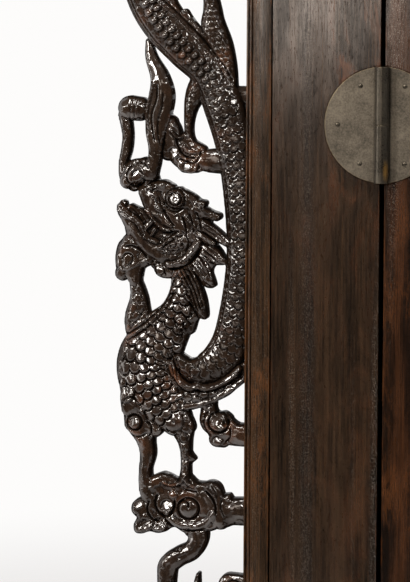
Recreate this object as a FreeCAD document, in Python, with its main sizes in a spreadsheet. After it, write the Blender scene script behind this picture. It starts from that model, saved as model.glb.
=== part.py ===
import FreeCAD, Part
import math
import os
import re
import Sketcher
from FreeCAD import Rotation, Vector

# Altar cabinet with everted ends, two drawers over two doors and pierced dragon spandrels.
# Millimetres. X runs to the right along the front, Y to the back, Z up; the origin is on the floor
# under the middle of the top.

SIZES = {
    # Overall
    "case_width": 1040,
    "top_length": 1500,
    "top_depth": 480,
    "front_overhang": 28,
    "back_overhang": 10,
    # Heights of the front, from the floor up
    "foot_height": 100,
    "bottom_rail": 38,
    "door_height": 691,
    "door_reveal": 3,
    "middle_rail": 30,
    "drawer_opening": 94,
    "top_rail": 20,
    "top_thick": 36,
    # Legs: a square post, rabbeted behind a narrow front face
    "leg_section": 50,
    "leg_face": 21.5,
    "leg_proud": 1.5,
    "leg_tenon_inset": 12,
    "leg_tenon_height": 22,
    "joint_line": 1.2,
    # The leg's front moulding, from its outer arris: a fillet, a quirk, a bead, a quirk and a shallow crown
    "arris_fillet": 1.2,
    "outer_quirk": 1.7,
    "bead_width": 1.8,
    "bead_radius": 1.1,
    "inner_quirk": 1.0,
    "quirk_depth": 1.5,
    "band_crown": 0.6,
    "band_radius": 60,
    # Boards of the front
    "stile_width": 94.5,
    "board_thick": 24,
    "stop_lip": 12,
    "divider": 30,
    # Joinery
    "fit_gap": 0.2,
    "tenon_thick": 10,
    "tenon_reach": 14,
    "tenon_shoulder": 6,
    "tongue_reach": 8,
    "overcut": 1,
    # Sides and back
    "side_setback": 3,
    "side_thick": 22,
    "side_rail": 40,
    "side_panel": 10,
    "back_setback": 3,
    "back_thick": 22,
    "back_panel": 9,
    # Inside
    "bottom_board": 14,
    "board_tongue": 5,
    "shelf_level": 470,
    "shelf_thick": 16,
    "shelf_setback": 40,
    "shelf_batten": 18,
    "runner_bearing": 18,
    "runner_height": 24,
    "guide_width": 24,
    "guide_height": 22,
    # Doors
    "door_thick": 23.5,
    "hinge_gap": 4.4,
    "door_gap": 3,
    "door_frame": 62,
    "door_tenon": 40,
    "panel_recess": 0.8,
    "panel_thick": 14,
    "panel_tongue": 6,
    "panel_tongue_place": 7,
    "batten_width": 34,
    # Drawers
    "drawer_gap": 1.5,
    "drawer_clear": 0.3,
    "drawer_front": 20,
    "drawer_lap": 12,
    "drawer_wall": 10,
    "drawer_side": 80,
    "drawer_bottom": 6,
    "drawer_bottom_place": 6,
    "drawer_behind": 20,
    # Top
    "top_frame": 75,
    "flange_width": 74,
    "flange_rise": 30,
    "flange_foot": 54,
    "flange_sweep": 34,
    "flange_tip": 8,
    "flange_back_radius": 98,
    "flange_front_radius": 48,
    "edge_inset": 16,
    "edge_lip": 10,
    "edge_fillet": 4,
    "edge_radius": 26,
    "top_panel": 16,
    "top_panel_recess": 0.6,
    "top_batten": 44,
    # Aprons
    "apron_thick": 18,
    "apron_setback": 6,
    "apron_drop": 72,
    "apron_middle": 30,
    "apron_leg": 16,
    "apron_curve": 52,
    "apron_radius": 46,
    "apron_cusp": 5,
    # Round hinges
    "hinge_diameter": 100,
    "hinge_inset": 115.5,
    "leaf_thick": 1.4,
    "leaf_gap": 0.4,
    "knuckle_radius": 6.2,
    "knuckle_gap": 0.4,
    "pin_radius": 2.6,
    "running_gap": 0.05,
    "nail_circle": 38.6,
    "nail_radius": 2.2,
    "nail_crown": 1.1,
    "nail_height": 1.2,
    "nail_facets": 8,
    "shank_side": 2,
    "shank_length": 12,
    # Lock plate and pulls
    "lock_radius": 52,
    "lock_edge": 1,
    "lock_nail_circle": 43,
    "lug_rise": 14,
    "lug_place": 5,
    "lug_width": 6,
    "lug_height": 20,
    "lug_stand": 12,
    "lug_bore": 3.2,
    "pull_place": 27,
    "pull_lower": 6,
    "pull_plate": 26,
    "plate_nail_circle": 20,
    "post_radius": 5.5,
    "post_base": 2,
    "post_shank": 2,
    "post_length": 14,
    "ear_gap": 4,
    "ear_thick": 2.2,
    "ear_height": 8,
    "ear_stand": 8,
    "pull_pin": 1.5,
    "eye_radius": 3.4,
    "eye_width": 3.4,
    "pull_neck": 9,
    "pull_length": 46,
    "pull_half_width": 8,
    "pull_thick": 3,
    "pull_side_radius": 90,
    "pull_foot_radius": 8.6,
    # Dragon spandrel: its drawing grid, thickness and the tongue that holds it
    "carving_grid": 0.868,
    "carving_thick": 24,
    "carving_setback": 1,
    "carving_tongue": 8,
    "carving_tongue_reach": 5,
    "carving_drop": 742,
    "carving_bevel": 6,
    "carving_crown": 0.55,
}

doc = FreeCAD.newDocument("altar_cabinet")
sheet = doc.addObject("Spreadsheet::Sheet", "sizes")
for row, (alias, value) in enumerate(SIZES.items(), 1):
    sheet.set(f"A{row}", alias)
    sheet.set(f"B{row}", str(value))
    sheet.setAlias(f"B{row}", alias)
doc.recompute()


def bind(text):
    return re.sub(r"[a-z_]+", lambda word: f"sizes.{word[0]}" if word[0] in SIZES else word[0], text)


def amount(text):
    return float(sheet.evalExpression(bind(text)))


def apart(low, size):
    return low, f"{low} + {size}"


def about(middle, size):
    return f"{middle} - ({size}) / 2", f"{middle} + ({size}) / 2"


def grown(span, gap="fit_gap"):
    return f"{span[0]} - {gap}", f"{span[1]} + {gap}"


def across(side, inner, outer):
    return (f"-({outer})", f"-({inner})") if side == "left" else (inner, outer)


def outward(side, place):
    return f"-({place})" if side == "left" else f"({place})"


# Lines that several pieces share
HALF = "(case_width / 2)"
LEG_IN = "(case_width / 2 - leg_section)"
BAND_IN = "(case_width / 2 - leg_face)"
OPEN_HALF = "(case_width / 2 - leg_face - stile_width)"
SIDE_OUT = "(case_width / 2 - side_setback)"
SIDE_IN = "(case_width / 2 - side_setback - side_thick)"
LEG_FRONT = "(front_overhang - top_depth / 2)"
LEG_BACK = "(front_overhang - top_depth / 2 + leg_section)"
FACE = "(front_overhang - top_depth / 2 + leg_proud)"
FACE_BACK = "(front_overhang - top_depth / 2 + leg_proud + board_thick)"
CASE_BACK = "(top_depth / 2 - back_overhang)"
REAR_LEG = "(top_depth / 2 - back_overhang - leg_section)"
REAR_RAIL = "(top_depth / 2 - back_overhang - back_setback - back_thick)"
RAIL_TOP = "(foot_height + bottom_rail)"
DOOR_LOW = "(foot_height + bottom_rail + door_reveal)"
DOOR_TOP = "(foot_height + bottom_rail + door_reveal + door_height)"
MIDDLE_LOW = "(foot_height + bottom_rail + 2 * door_reveal + door_height)"
MIDDLE_TOP = f"({MIDDLE_LOW} + middle_rail)"
DRAWER_TOP = f"({MIDDLE_TOP} + drawer_opening)"
CASE_TOP = f"({DRAWER_TOP} + top_rail)"
TABLE = f"({CASE_TOP} + top_thick)"
FRAME_Y = "(top_depth / 2 - top_frame)"
FLANGE_X = "(top_length / 2 - flange_width)"
LEAF_FRONT = f"({FACE} - leaf_thick)"
LOCK_Z = f"({DOOR_LOW} + door_height / 2)"
SIDES = ("left", "right")

# Each piece: the solids it is made of, what is cut from them, what is joined on after the cut,
# and the node in which alike pieces are kept together
material = {}
openings = {}
rolled = {}
groups = {}


def block(x, y, z):
    box = doc.addObject("Part::Box", "block")
    for size, axis, (low, high) in (("Length", "x", x), ("Width", "y", y), ("Height", "z", z)):
        box.setExpression(size, bind(f"({high}) - ({low})"))
        box.setExpression(f"Placement.Base.{axis}", bind(low))
    return box


def rod(radius, length, start, turn):
    bar = doc.addObject("Part::Cylinder", "rod")
    bar.setExpression("Radius", bind(radius))
    bar.setExpression("Height", bind(length))
    bar.Placement.Rotation = turn
    for axis, place in zip("xyz", start):
        bar.setExpression(f"Placement.Base.{axis}", bind(place))
    return bar


UPRIGHT = Rotation()
FORWARD = Rotation(Vector(1, 0, 0), 90)
RIGHTWARD = Rotation(Vector(0, 1, 0), 90)


def add(piece, *solids):
    material.setdefault(piece, []).extend(solids)


def take(piece, *tools):
    openings.setdefault(piece, []).extend(tools)


def gather(node, *pieces):
    groups.setdefault(node, []).extend(pieces)


# A tenon or a tongue, with its mortise or groove a fit gap larger in every piece that takes it
def let_in(piece, hosts, x, y, z):
    add(piece, block(x, y, z))
    for host in hosts:
        take(host, block(grown(x), grown(y), grown(z)))


# A closed sketch through the corners; arcs gives, by the corner it starts from, each arc's radius and turn
def outline(body, role, corners, arcs):
    plane = next(item for item in body.Origin.OriginFeatures if item.Role == role)
    sketch = body.newObject("Sketcher::SketchObject", f"{body.Name}_outline")
    sketch.AttachmentSupport = [(plane, "")]
    sketch.MapMode = "FlatFace"
    spots = [Vector(amount(x), amount(y), 0) for x, y in corners]
    starts = []
    for index, start in enumerate(spots):
        end = spots[(index + 1) % len(spots)]
        if index not in arcs:
            sketch.addGeometry(Part.LineSegment(start, end))
            starts.append(1)
            continue
        radius, turn = amount(arcs[index][0]), arcs[index][1]
        chord = end - start
        aside = Vector(-chord.y, chord.x, 0).normalize() * turn
        centre = start + chord * 0.5 + aside * math.sqrt(radius ** 2 - chord.Length ** 2 / 4)
        first, last = (start, end) if turn > 0 else (end, start)
        angles = [math.atan2(spot.y - centre.y, spot.x - centre.x) for spot in (first, last)]
        circle = Part.Circle(centre, Vector(0, 0, 1), radius)
        sketch.addGeometry(Part.ArcOfCircle(circle, *angles))
        starts.append(1 if turn > 0 else 2)
    for index, (x, y) in enumerate(corners):
        after = (index + 1) % len(corners)
        end = 3 - starts[index]
        sketch.addConstraint(Sketcher.Constraint("Coincident", index, end, after, starts[after]))
        for kind, text, value in (("DistanceX", x, spots[index].x), ("DistanceY", y, spots[index].y)):
            place = sketch.addConstraint(Sketcher.Constraint(kind, -1, 1, index, starts[index], value))
            sketch.setExpression(f"Constraints[{place}]", bind(text))
        if index in arcs:
            value = amount(arcs[index][0])
            place = sketch.addConstraint(Sketcher.Constraint("Radius", index, value))
            sketch.setExpression(f"Constraints[{place}]", bind(arcs[index][0]))
    return sketch


def padded(name, role, corners, arcs, length, place, both_ways=False):
    body = doc.addObject("PartDesign::Body", name)
    pad = body.newObject("PartDesign::Pad", f"{name}_pad")
    pad.Profile = outline(body, role, corners, arcs)
    pad.setExpression("Length", bind(length))
    pad.Midplane = both_ways
    body.Tip = pad
    for axis, text in zip("xyz", place):
        body.setExpression(f"Placement.Base.{axis}", bind(text))
    return body


def mirrored(corners):
    return [*corners, *((f"-({x})", y) for x, y in reversed(corners))]


def build_top():
    length = (f"-{FLANGE_X}", FLANGE_X)
    level = (CASE_TOP, TABLE)
    front = ("-top_depth / 2", f"-{FRAME_Y}")
    back = (FRAME_Y, "top_depth / 2")
    add("top_front_rail", block(length, front, level))
    add("top_back_rail", block(length, back, level))
    edge = [
        ("-top_depth / 2 - overcut", f"{CASE_TOP} - overcut"),
        ("-top_depth / 2 + edge_inset", f"{CASE_TOP} - overcut"),
        ("-top_depth / 2 + edge_inset", f"{CASE_TOP} + edge_fillet"),
        ("-top_depth / 2", f"{TABLE} - edge_lip"),
        ("-top_depth / 2 - overcut", f"{TABLE} - edge_lip"),
    ]
    mould = padded("edge_mould", "YZ_Plane", edge, {2: ("edge_radius", 1)}, "top_length",
                   ("-top_length / 2", "0", "0"))
    take("top_front_rail", mould)
    profile = [
        ("0", "0"),
        ("flange_foot", "0"),
        ("flange_width", "top_thick + flange_rise - flange_tip"),
        ("flange_width - flange_tip", "top_thick + flange_rise"),
        ("flange_width - flange_tip - flange_sweep", "top_thick"),
        ("0", "top_thick"),
    ]
    arcs = {1: ("flange_back_radius", 1), 2: ("flange_tip", 1), 3: ("flange_front_radius", -1)}
    for side, flip in zip(SIDES, (180, 0)):
        name = f"top_{side}_flange"
        start = "top_depth / 2" if side == "right" else "-top_depth / 2"
        end = padded(f"{name}_profile", "XZ_Plane", profile, arcs, "top_depth",
                     (outward(side, FLANGE_X), start, CASE_TOP))
        end.Placement.Rotation = Rotation(Vector(0, 0, 1), flip)
        add(name, end)
        take(name, mould)
        for rail, span in (("top_front_rail", front), ("top_back_rail", back)):
            let_in(rail, [name], across(side, FLANGE_X, f"{FLANGE_X} + 2 * tenon_reach"),
                  (f"{span[0]} + 4 * tenon_shoulder", f"{span[1]} - 3 * tenon_shoulder"),
                  apart(f"{CASE_TOP} + tenon_shoulder", "tenon_thick"))
    field = (f"{TABLE} - top_panel", f"{TABLE} - top_panel_recess")
    add("top_panel", block(length, (f"-{FRAME_Y}", FRAME_Y), field))
    let_in("top_panel", ["top_front_rail", "top_back_rail", "top_left_flange", "top_right_flange"],
           grown(length, "tongue_reach"), grown((f"-{FRAME_Y}", FRAME_Y), "tongue_reach"),
           apart(f"{TABLE} - top_panel", "panel_tongue"))
    for name, middle in (("left", f"-{HALF}"), ("middle", "0"), ("right", HALF)):
        batten = f"top_batten_{name}"
        span = about(middle, "top_batten")
        add(batten, block(span, (f"-{FRAME_Y}", FRAME_Y), (CASE_TOP, f"{TABLE} - top_panel")))
        cheek = (f"{span[0]} + 2 * tenon_shoulder", f"{span[1]} - 2 * tenon_shoulder")
        reach = apart(f"{CASE_TOP} + tenon_shoulder / 2", "tenon_thick")
        let_in(batten, ["top_front_rail"], cheek, (f"-{FRAME_Y} - tenon_reach", f"-{FRAME_Y}"), reach)
        let_in(batten, ["top_back_rail"], cheek, (FRAME_Y, f"{FRAME_Y} + tenon_reach"), reach)
        gather("top_battens", batten)


# The leg's front in plan, for the right-hand leg: moulded across its face, flat behind
def leg_plan(side):
    quirk = f"{LEG_FRONT} + quirk_depth"
    fillet = f"{HALF} - arris_fillet"
    bead = f"{HALF} - arris_fillet - outer_quirk"
    inner = f"{HALF} - arris_fillet - outer_quirk - bead_width"
    band = f"{HALF} - arris_fillet - outer_quirk - bead_width - inner_quirk"
    edge = f"{LEG_FRONT} + band_crown"
    corners = [
        (BAND_IN, FACE_BACK),
        (BAND_IN, edge),
        (band, edge),
        (band, quirk),
        (inner, quirk),
        (inner, edge),
        (bead, edge),
        (bead, quirk),
        (fillet, quirk),
        (fillet, LEG_FRONT),
        (HALF, LEG_FRONT),
        (HALF, FACE_BACK),
    ]
    turn = 1 if side == "right" else -1
    arcs = {1: ("band_radius", turn), 5: ("bead_radius", turn)}
    return [(outward(side, x), y) for x, y in corners], arcs


def build_legs():
    inset = (f"{LEG_IN} + leg_tenon_inset", f"{HALF} - leg_tenon_inset")
    rise = (CASE_TOP, f"{CASE_TOP} + leg_tenon_height")
    for side in SIDES:
        front = f"front_{side}_leg"
        add(front, block(across(side, LEG_IN, HALF), (FACE_BACK, LEG_BACK), ("0", CASE_TOP)))
        add(front, block(across(side, LEG_IN, BAND_IN), (LEG_FRONT, FACE_BACK), ("0", "foot_height")))
        add(front, padded(f"{front}_moulding", "XY_Plane", *leg_plan(side), CASE_TOP, ("0", "0", "0")))
        let_in(front, ["top_front_rail"], across(side, *inset),
               (f"{FACE_BACK} + fit_gap", f"{LEG_BACK} - leg_tenon_inset"), rise)
        rear = f"back_{side}_leg"
        add(rear, block(across(side, LEG_IN, HALF), (REAR_LEG, CASE_BACK), ("0", CASE_TOP)))
        let_in(rear, ["top_back_rail"], across(side, *inset),
               (f"{REAR_LEG} + leg_tenon_inset", f"{CASE_BACK} - leg_tenon_inset"), rise)


def build_front():
    thick = (FACE, FACE_BACK)
    cheek = about(f"({FACE} + board_thick / 2)", "tenon_thick")
    low, high = ("foot_height", RAIL_TOP), (DRAWER_TOP, CASE_TOP)
    for name, level in (("front_bottom_rail", low), ("front_top_rail", high)):
        add(name, block((f"-{BAND_IN}", BAND_IN), thick, level))
        for side in SIDES:
            let_in(name, [f"front_{side}_leg"], across(side, BAND_IN, f"{BAND_IN} + tenon_reach"), cheek,
                  (f"{level[0]} + tenon_shoulder", f"{level[1]} - tenon_shoulder"))
    middle = (MIDDLE_LOW, MIDDLE_TOP)
    add("front_middle_rail", block((f"-{OPEN_HALF}", OPEN_HALF), thick, middle))
    add("front_middle_rail", block((f"-{OPEN_HALF}", OPEN_HALF), apart(FACE_BACK, "stop_lip"),
                                   (f"{MIDDLE_LOW} - stop_lip", MIDDLE_TOP)))
    for side in SIDES:
        stile = f"{side}_front_stile"
        add(stile, block(across(side, OPEN_HALF, f"{BAND_IN} - joint_line"), thick, (RAIL_TOP, DRAWER_TOP)))
        width = across(side, f"{OPEN_HALF} + stile_width / 4", f"{OPEN_HALF} + stile_width * 3 / 4")
        let_in(stile, ["front_bottom_rail"], width, cheek, (f"{RAIL_TOP} - tenon_reach", RAIL_TOP))
        let_in(stile, ["front_top_rail"], width, cheek, apart(DRAWER_TOP, "tenon_reach"))
        let_in("front_middle_rail", [stile], across(side, OPEN_HALF, f"{OPEN_HALF} + tenon_reach"), cheek,
              (f"{MIDDLE_LOW} + tenon_shoulder", f"{MIDDLE_TOP} - tenon_shoulder"))
    post = about("0", "divider")
    add("drawer_divider", block(post, thick, (MIDDLE_TOP, DRAWER_TOP)))
    core = about("0", "divider - 2 * tenon_shoulder")
    let_in("drawer_divider", ["front_middle_rail"], core, cheek, (f"{MIDDLE_TOP} - tenon_reach", MIDDLE_TOP))
    let_in("drawer_divider", ["front_top_rail"], core, cheek, apart(DRAWER_TOP, "tenon_reach"))


def build_sides():
    run = (LEG_BACK, REAR_LEG)
    for side in SIDES:
        wide = across(side, SIDE_IN, SIDE_OUT)
        cheek = about(outward(side, f"{SIDE_OUT} - side_thick / 2"), "tenon_thick")
        legs = (f"front_{side}_leg", f"back_{side}_leg")
        rails = (f"{side}_side_lower_rail", f"{side}_side_upper_rail")
        levels = (("foot_height", RAIL_TOP), (f"{CASE_TOP} - side_rail", CASE_TOP))
        for rail, level in zip(rails, levels):
            add(rail, block(wide, run, level))
            tall = (f"{level[0]} + tenon_shoulder", f"{level[1]} - tenon_shoulder")
            let_in(rail, [legs[0]], cheek, (f"{LEG_BACK} - tenon_reach", LEG_BACK), tall)
            let_in(rail, [legs[1]], cheek, apart(REAR_LEG, "tenon_reach"), tall)
            gather(f"{side}_side_rails", rail)
        sheet_thick = about(outward(side, f"{SIDE_OUT} - side_thick / 2"), "side_panel")
        let_in(f"{side}_side_panel", [*legs, *rails], sheet_thick, grown(run, "tongue_reach"),
               (f"{RAIL_TOP} - tongue_reach", f"{CASE_TOP} - side_rail + tongue_reach"))


def build_back():
    run = (f"-{LEG_IN}", LEG_IN)
    thick = apart(REAR_RAIL, "back_thick")
    middle = f"({REAR_RAIL} + back_thick / 2)"
    levels = {
        "back_lower_rail": ("foot_height", RAIL_TOP),
        "back_middle_rail": (MIDDLE_LOW, MIDDLE_TOP),
        "back_upper_rail": (f"{CASE_TOP} - side_rail", CASE_TOP),
    }
    legs = ("back_left_leg", "back_right_leg")
    for rail, level in levels.items():
        add(rail, block(run, thick, level))
        for side, leg in zip(SIDES, legs):
            let_in(rail, [leg], across(side, LEG_IN, f"{LEG_IN} + tenon_reach"), about(middle, "tenon_thick"),
                  (f"{level[0]} + tenon_shoulder", f"{level[1]} - tenon_shoulder"))
        gather("back_rails", rail)
    names = list(levels)
    for panel, below, above in (("back_lower_panel", *names[:2]), ("back_upper_panel", *names[1:])):
        let_in(panel, [below, above, *legs], grown(run, "tongue_reach"), about(middle, "back_panel"),
               (f"{levels[below][1]} - tongue_reach", f"{levels[above][0]} + tongue_reach"))
        gather("back_panels", panel)


def build_inside():
    depth = (FACE_BACK, REAR_RAIL)
    floor = (f"{RAIL_TOP} - bottom_board", RAIL_TOP)
    add("bottom_board", block((f"-{SIDE_IN}", SIDE_IN), depth, floor))
    let_in("bottom_board", ["front_bottom_rail", "back_lower_rail"],
           (f"-{LEG_IN} + tongue_reach", f"{LEG_IN} - tongue_reach"), grown(depth, "board_tongue"),
           about(f"({RAIL_TOP} - bottom_board / 2)", "panel_tongue"))
    for side in SIDES:
        corner = across(side, f"{LEG_IN} - fit_gap", f"{HALF}")
        take("bottom_board", block(corner, (LEG_FRONT, f"{LEG_BACK} + fit_gap"), grown(floor)))
        take("bottom_board", block(corner, (f"{REAR_LEG} - fit_gap", CASE_BACK), grown(floor)))
        batten = f"shelf_batten_{side}"
        add(batten, block(across(side, f"{LEG_IN} - shelf_batten", LEG_IN),
                          (f"{FACE_BACK} + fit_gap", REAR_RAIL), ("shelf_level - shelf_batten", "shelf_level")))
        gather("shelf_battens", batten)
    add("shelf", block((f"-{LEG_IN} + fit_gap", f"{LEG_IN} - fit_gap"),
                       (f"{FACE_BACK} + shelf_setback", REAR_RAIL), apart("shelf_level", "shelf_thick")))
    run = (f"{FACE_BACK} + stop_lip", REAR_RAIL)
    bed = (f"{MIDDLE_TOP} - runner_height", MIDDLE_TOP)
    fence = apart(MIDDLE_TOP, "guide_height")
    for side in SIDES:
        runner = f"drawer_runner_{side}"
        bearing = across(side, f"{OPEN_HALF} - runner_bearing", f"{OPEN_HALF} + guide_width")
        add(runner, block(bearing, run, bed))
        add(runner, block(across(side, OPEN_HALF, f"{OPEN_HALF} + guide_width"), run, fence))
        gather("drawer_runners", runner)
    add("drawer_runner_middle", block(about("0", "divider + 2 * runner_bearing"), run, bed))
    add("drawer_runner_middle", block(about("0", "divider"), run, fence))
    gather("drawer_runners", "drawer_runner_middle")


# Half the apron's outline, from the leg inwards: a spur down the leg, an ogee and a small cusp
def apron_corners(half):
    return mirrored([
        (half, "0"),
        (half, "-apron_drop"),
        (f"{half} - apron_leg", "-apron_drop"),
        (f"{half} - apron_leg - apron_curve", "-apron_middle"),
        (f"{half} - apron_leg - 2 * apron_curve", "-apron_middle - apron_cusp"),
    ])


def build_aprons():
    arcs = {2: ("apron_radius", -1), 3: ("apron_radius", 1), 5: ("apron_radius", 1), 6: ("apron_radius", -1)}
    front = padded("front_apron_profile", "XZ_Plane", apron_corners(LEG_IN), arcs, "apron_thick",
                   ("0", f"{LEG_FRONT} + apron_setback + apron_thick", "foot_height"))
    add("front_apron", front)
    gather("aprons", "front_apron")
    half_run = f"(({REAR_LEG} - {LEG_BACK}) / 2)"
    for side in SIDES:
        inner = f"{SIDE_OUT} - side_thick / 2"
        edge = across(side, f"{inner} - apron_thick / 2", f"{inner} + apron_thick / 2")
        body = padded(f"{side}_apron_profile", "YZ_Plane", apron_corners(half_run), arcs, "apron_thick",
                      (edge[0], f"({REAR_LEG} + {LEG_BACK}) / 2", "foot_height"))
        add(f"{side}_apron", body)
        gather("aprons", f"{side}_apron")


def ring(x, y, z, radius, count):
    turns = [2 * math.pi * step / count for step in range(count + 1)]
    return Part.makePolygon([Vector(x + radius * math.cos(t), y, z + radius * math.sin(t)) for t in turns])


# Forged nails: a faceted head over a square shank
def nails(name, spots, plate):
    front, height, count = amount(plate), amount("nail_height"), int(amount("nail_facets"))
    side, length = amount("shank_side"), amount("shank_length")
    solids = []
    for x, z in spots:
        rings = [ring(x, front, z, amount("nail_radius"), count),
                 ring(x, front - height, z, amount("nail_crown"), count)]
        shank = Part.makeBox(side, length, side, Vector(x - side / 2, front, z - side / 2))
        solids.append(Part.makeLoft(rings, True, True).fuse(shank))
    group = doc.addObject("Part::Feature", name)
    group.Shape = Part.makeCompound(solids)
    return group


def round_of(centre_x, centre_z, circle, angles):
    x, z, radius = amount(centre_x), amount(centre_z), amount(circle)
    return [(x + radius * math.cos(math.radians(a)), z + radius * math.sin(math.radians(a))) for a in angles]


# Where the nails stand round a half plate, in degrees
FAN = {"left": (120, 180, 240), "right": (-60, 0, 60)}
FACING = {"left": FAN["right"], "right": FAN["left"]}


def build_hinges():
    case_spots = []
    levels = (("upper", f"({DOOR_TOP} - hinge_inset)"), ("lower", f"({DOOR_LOW} + hinge_inset)"))
    axis_y = f"({FACE} - knuckle_radius)"
    edge = "knuckle_radius + leaf_gap"
    for side in SIDES:
        away = f"({OPEN_HALF} - hinge_gap / 2)"
        axis = outward(side, away)
        door_spots = []
        for height, z in levels:
            disc_from = f"{z} - hinge_diameter / 2"
            half_barrel = "(hinge_diameter - knuckle_gap) / 2"
            names = (f"{side}_{height}_case_leaf", f"{side}_{height}_door_leaf")
            reaches = ((f"{away} - {edge}", f"{away} - hinge_diameter", f"{away} + {edge}"),
                       (f"{away} + {edge}", f"{away} + hinge_diameter", f"{away} - {edge}"))
            starts = (disc_from, f"{z} + knuckle_gap / 2")
            bores = ("pin_radius", "pin_radius + running_gap")
            for leaf, (near, far, own), start, bore in zip(names, reaches, starts, bores):
                add(leaf, rod("hinge_diameter / 2", "leaf_thick", (axis, FACE, z), FORWARD))
                inner, outer = (far, own) if leaf == names[0] else (own, far)
                take(leaf, block(across(side, inner, outer), grown((LEAF_FRONT, FACE)),
                                 about(z, "hinge_diameter + 2 * overcut")))
                barrel = f"{leaf}_barrel"
                tube = doc.addObject("Part::Cut", barrel)
                tube.Base = rod("knuckle_radius", half_barrel, (axis, axis_y, start), UPRIGHT)
                tube.Tool = rod(bore, "hinge_diameter", (axis, axis_y, disc_from), UPRIGHT)
                web = (away, own) if leaf == names[0] else (own, away)
                wing = doc.addObject("Part::Cut", f"{leaf}_wing")
                wing.Base = block(across(side, *web), (LEAF_FRONT, FACE), apart(start, half_barrel))
                wing.Tool = rod("knuckle_radius - leaf_thick / 2", "hinge_diameter",
                                (axis, axis_y, disc_from), UPRIGHT)
                rolled[leaf] = (tube, wing)
            pin = f"{side}_{height}_pin"
            add(pin, rod("pin_radius", "hinge_diameter", (axis, axis_y, disc_from), UPRIGHT))
            gather("hinge_pins", pin)
            gather("case_hinge_leaves", names[0])
            gather(f"{side}_door_hinge_leaves", names[1])
            case_spots += round_of(axis, z, "nail_circle", FAN[side])
            door_spots += round_of(axis, z, "nail_circle", FACING[side])
        door_spots += round_of("0", LOCK_Z, "lock_nail_circle", FAN[side])
        studs = nails(f"{side}_door_nails", door_spots, LEAF_FRONT)
        for piece in (f"{side}_upper_door_leaf", f"{side}_lower_door_leaf", f"{side}_lock_plate",
                      f"{side}_door_hinge_stile", f"{side}_door_meeting_stile"):
            take(piece, studs)
    studs = nails("case_hinge_nails", case_spots, LEAF_FRONT)
    for side in SIDES:
        for piece in (f"{side}_upper_case_leaf", f"{side}_lower_case_leaf", f"{side}_front_stile"):
            take(piece, studs)


# A pendant pull: a clevis post through its plate, a pin between the ears, and the leaf that hangs on it
def build_pull(owner, x, z, host):
    base_front = f"({LEAF_FRONT} - post_base)"
    pin_y = f"({base_front} - ear_stand / 2)"
    post, pin = f"{owner}_pull_post", f"{owner}_pull_pin"
    add(post, rod("post_radius", "post_base", (x, LEAF_FRONT, z), FORWARD))
    tail = rod("post_shank", "post_length + post_base", (x, f"{LEAF_FRONT} + post_length", z), FORWARD)
    add(post, tail)
    for way in ("-", "+"):
        ear = about(f"({x} {way} (ear_gap + ear_thick) / 2)", "ear_thick")
        add(post, block(ear, (f"{base_front} - ear_stand", base_front), about(z, "ear_height")))
    spindle = rod("pull_pin", "ear_gap + 2 * ear_thick",
                  (f"{x} - ear_gap / 2 - ear_thick", pin_y, z), RIGHTWARD)
    add(pin, spindle)
    take(post, spindle)
    for piece in host:
        take(piece, tail)
    drop = f"{owner}_pull"
    right = [("eye_width / 2", "0"), ("eye_width / 2", "-pull_neck"), ("pull_half_width", "-pull_length")]
    leaf = padded(f"{drop}_leaf", "XZ_Plane", mirrored(right), {1: ("pull_side_radius", 1),
                  2: ("pull_foot_radius", -1), 3: ("pull_side_radius", 1)}, "pull_thick", (x, pin_y, z), True)
    add(drop, leaf)
    add(drop, rod("eye_radius", "eye_width", (f"{x} - eye_width / 2", pin_y, z), RIGHTWARD))
    take(drop, rod("pull_pin + running_gap", "eye_width + 2 * overcut",
                   (f"{x} - eye_width / 2 - overcut", pin_y, z), RIGHTWARD))
    return post, pin


def build_locks():
    for side in SIDES:
        plate, lug = f"{side}_lock_plate", f"{side}_lock_lug"
        add(plate, rod("lock_radius", "leaf_thick", ("0", FACE, LOCK_Z), FORWARD))
        take(plate, block(across(side, "-lock_radius - overcut", "door_gap / 2 + lock_edge"),
                          grown((LEAF_FRONT, FACE)), about(LOCK_Z, "2 * lock_radius + 2 * overcut")))
        stand = (f"{LEAF_FRONT} - lug_stand", LEAF_FRONT)
        level = f"({LOCK_Z} + lug_rise)"
        add(lug, block(across(side, "lug_place", "lug_place + lug_width"), stand, about(level, "lug_height")))
        take(lug, rod("lug_bore", "2 * lug_place + 2 * lug_width", ("-lug_place - lug_width",
                      f"{LEAF_FRONT} - lug_stand / 2", level), RIGHTWARD))
        fittings = build_pull(f"{side}_door", outward(side, "pull_place"), f"({LOCK_Z} - pull_lower)",
                              (plate, f"{side}_door_meeting_stile"))
        gather(f"{side}_lock_fittings", lug, *fittings)


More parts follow.
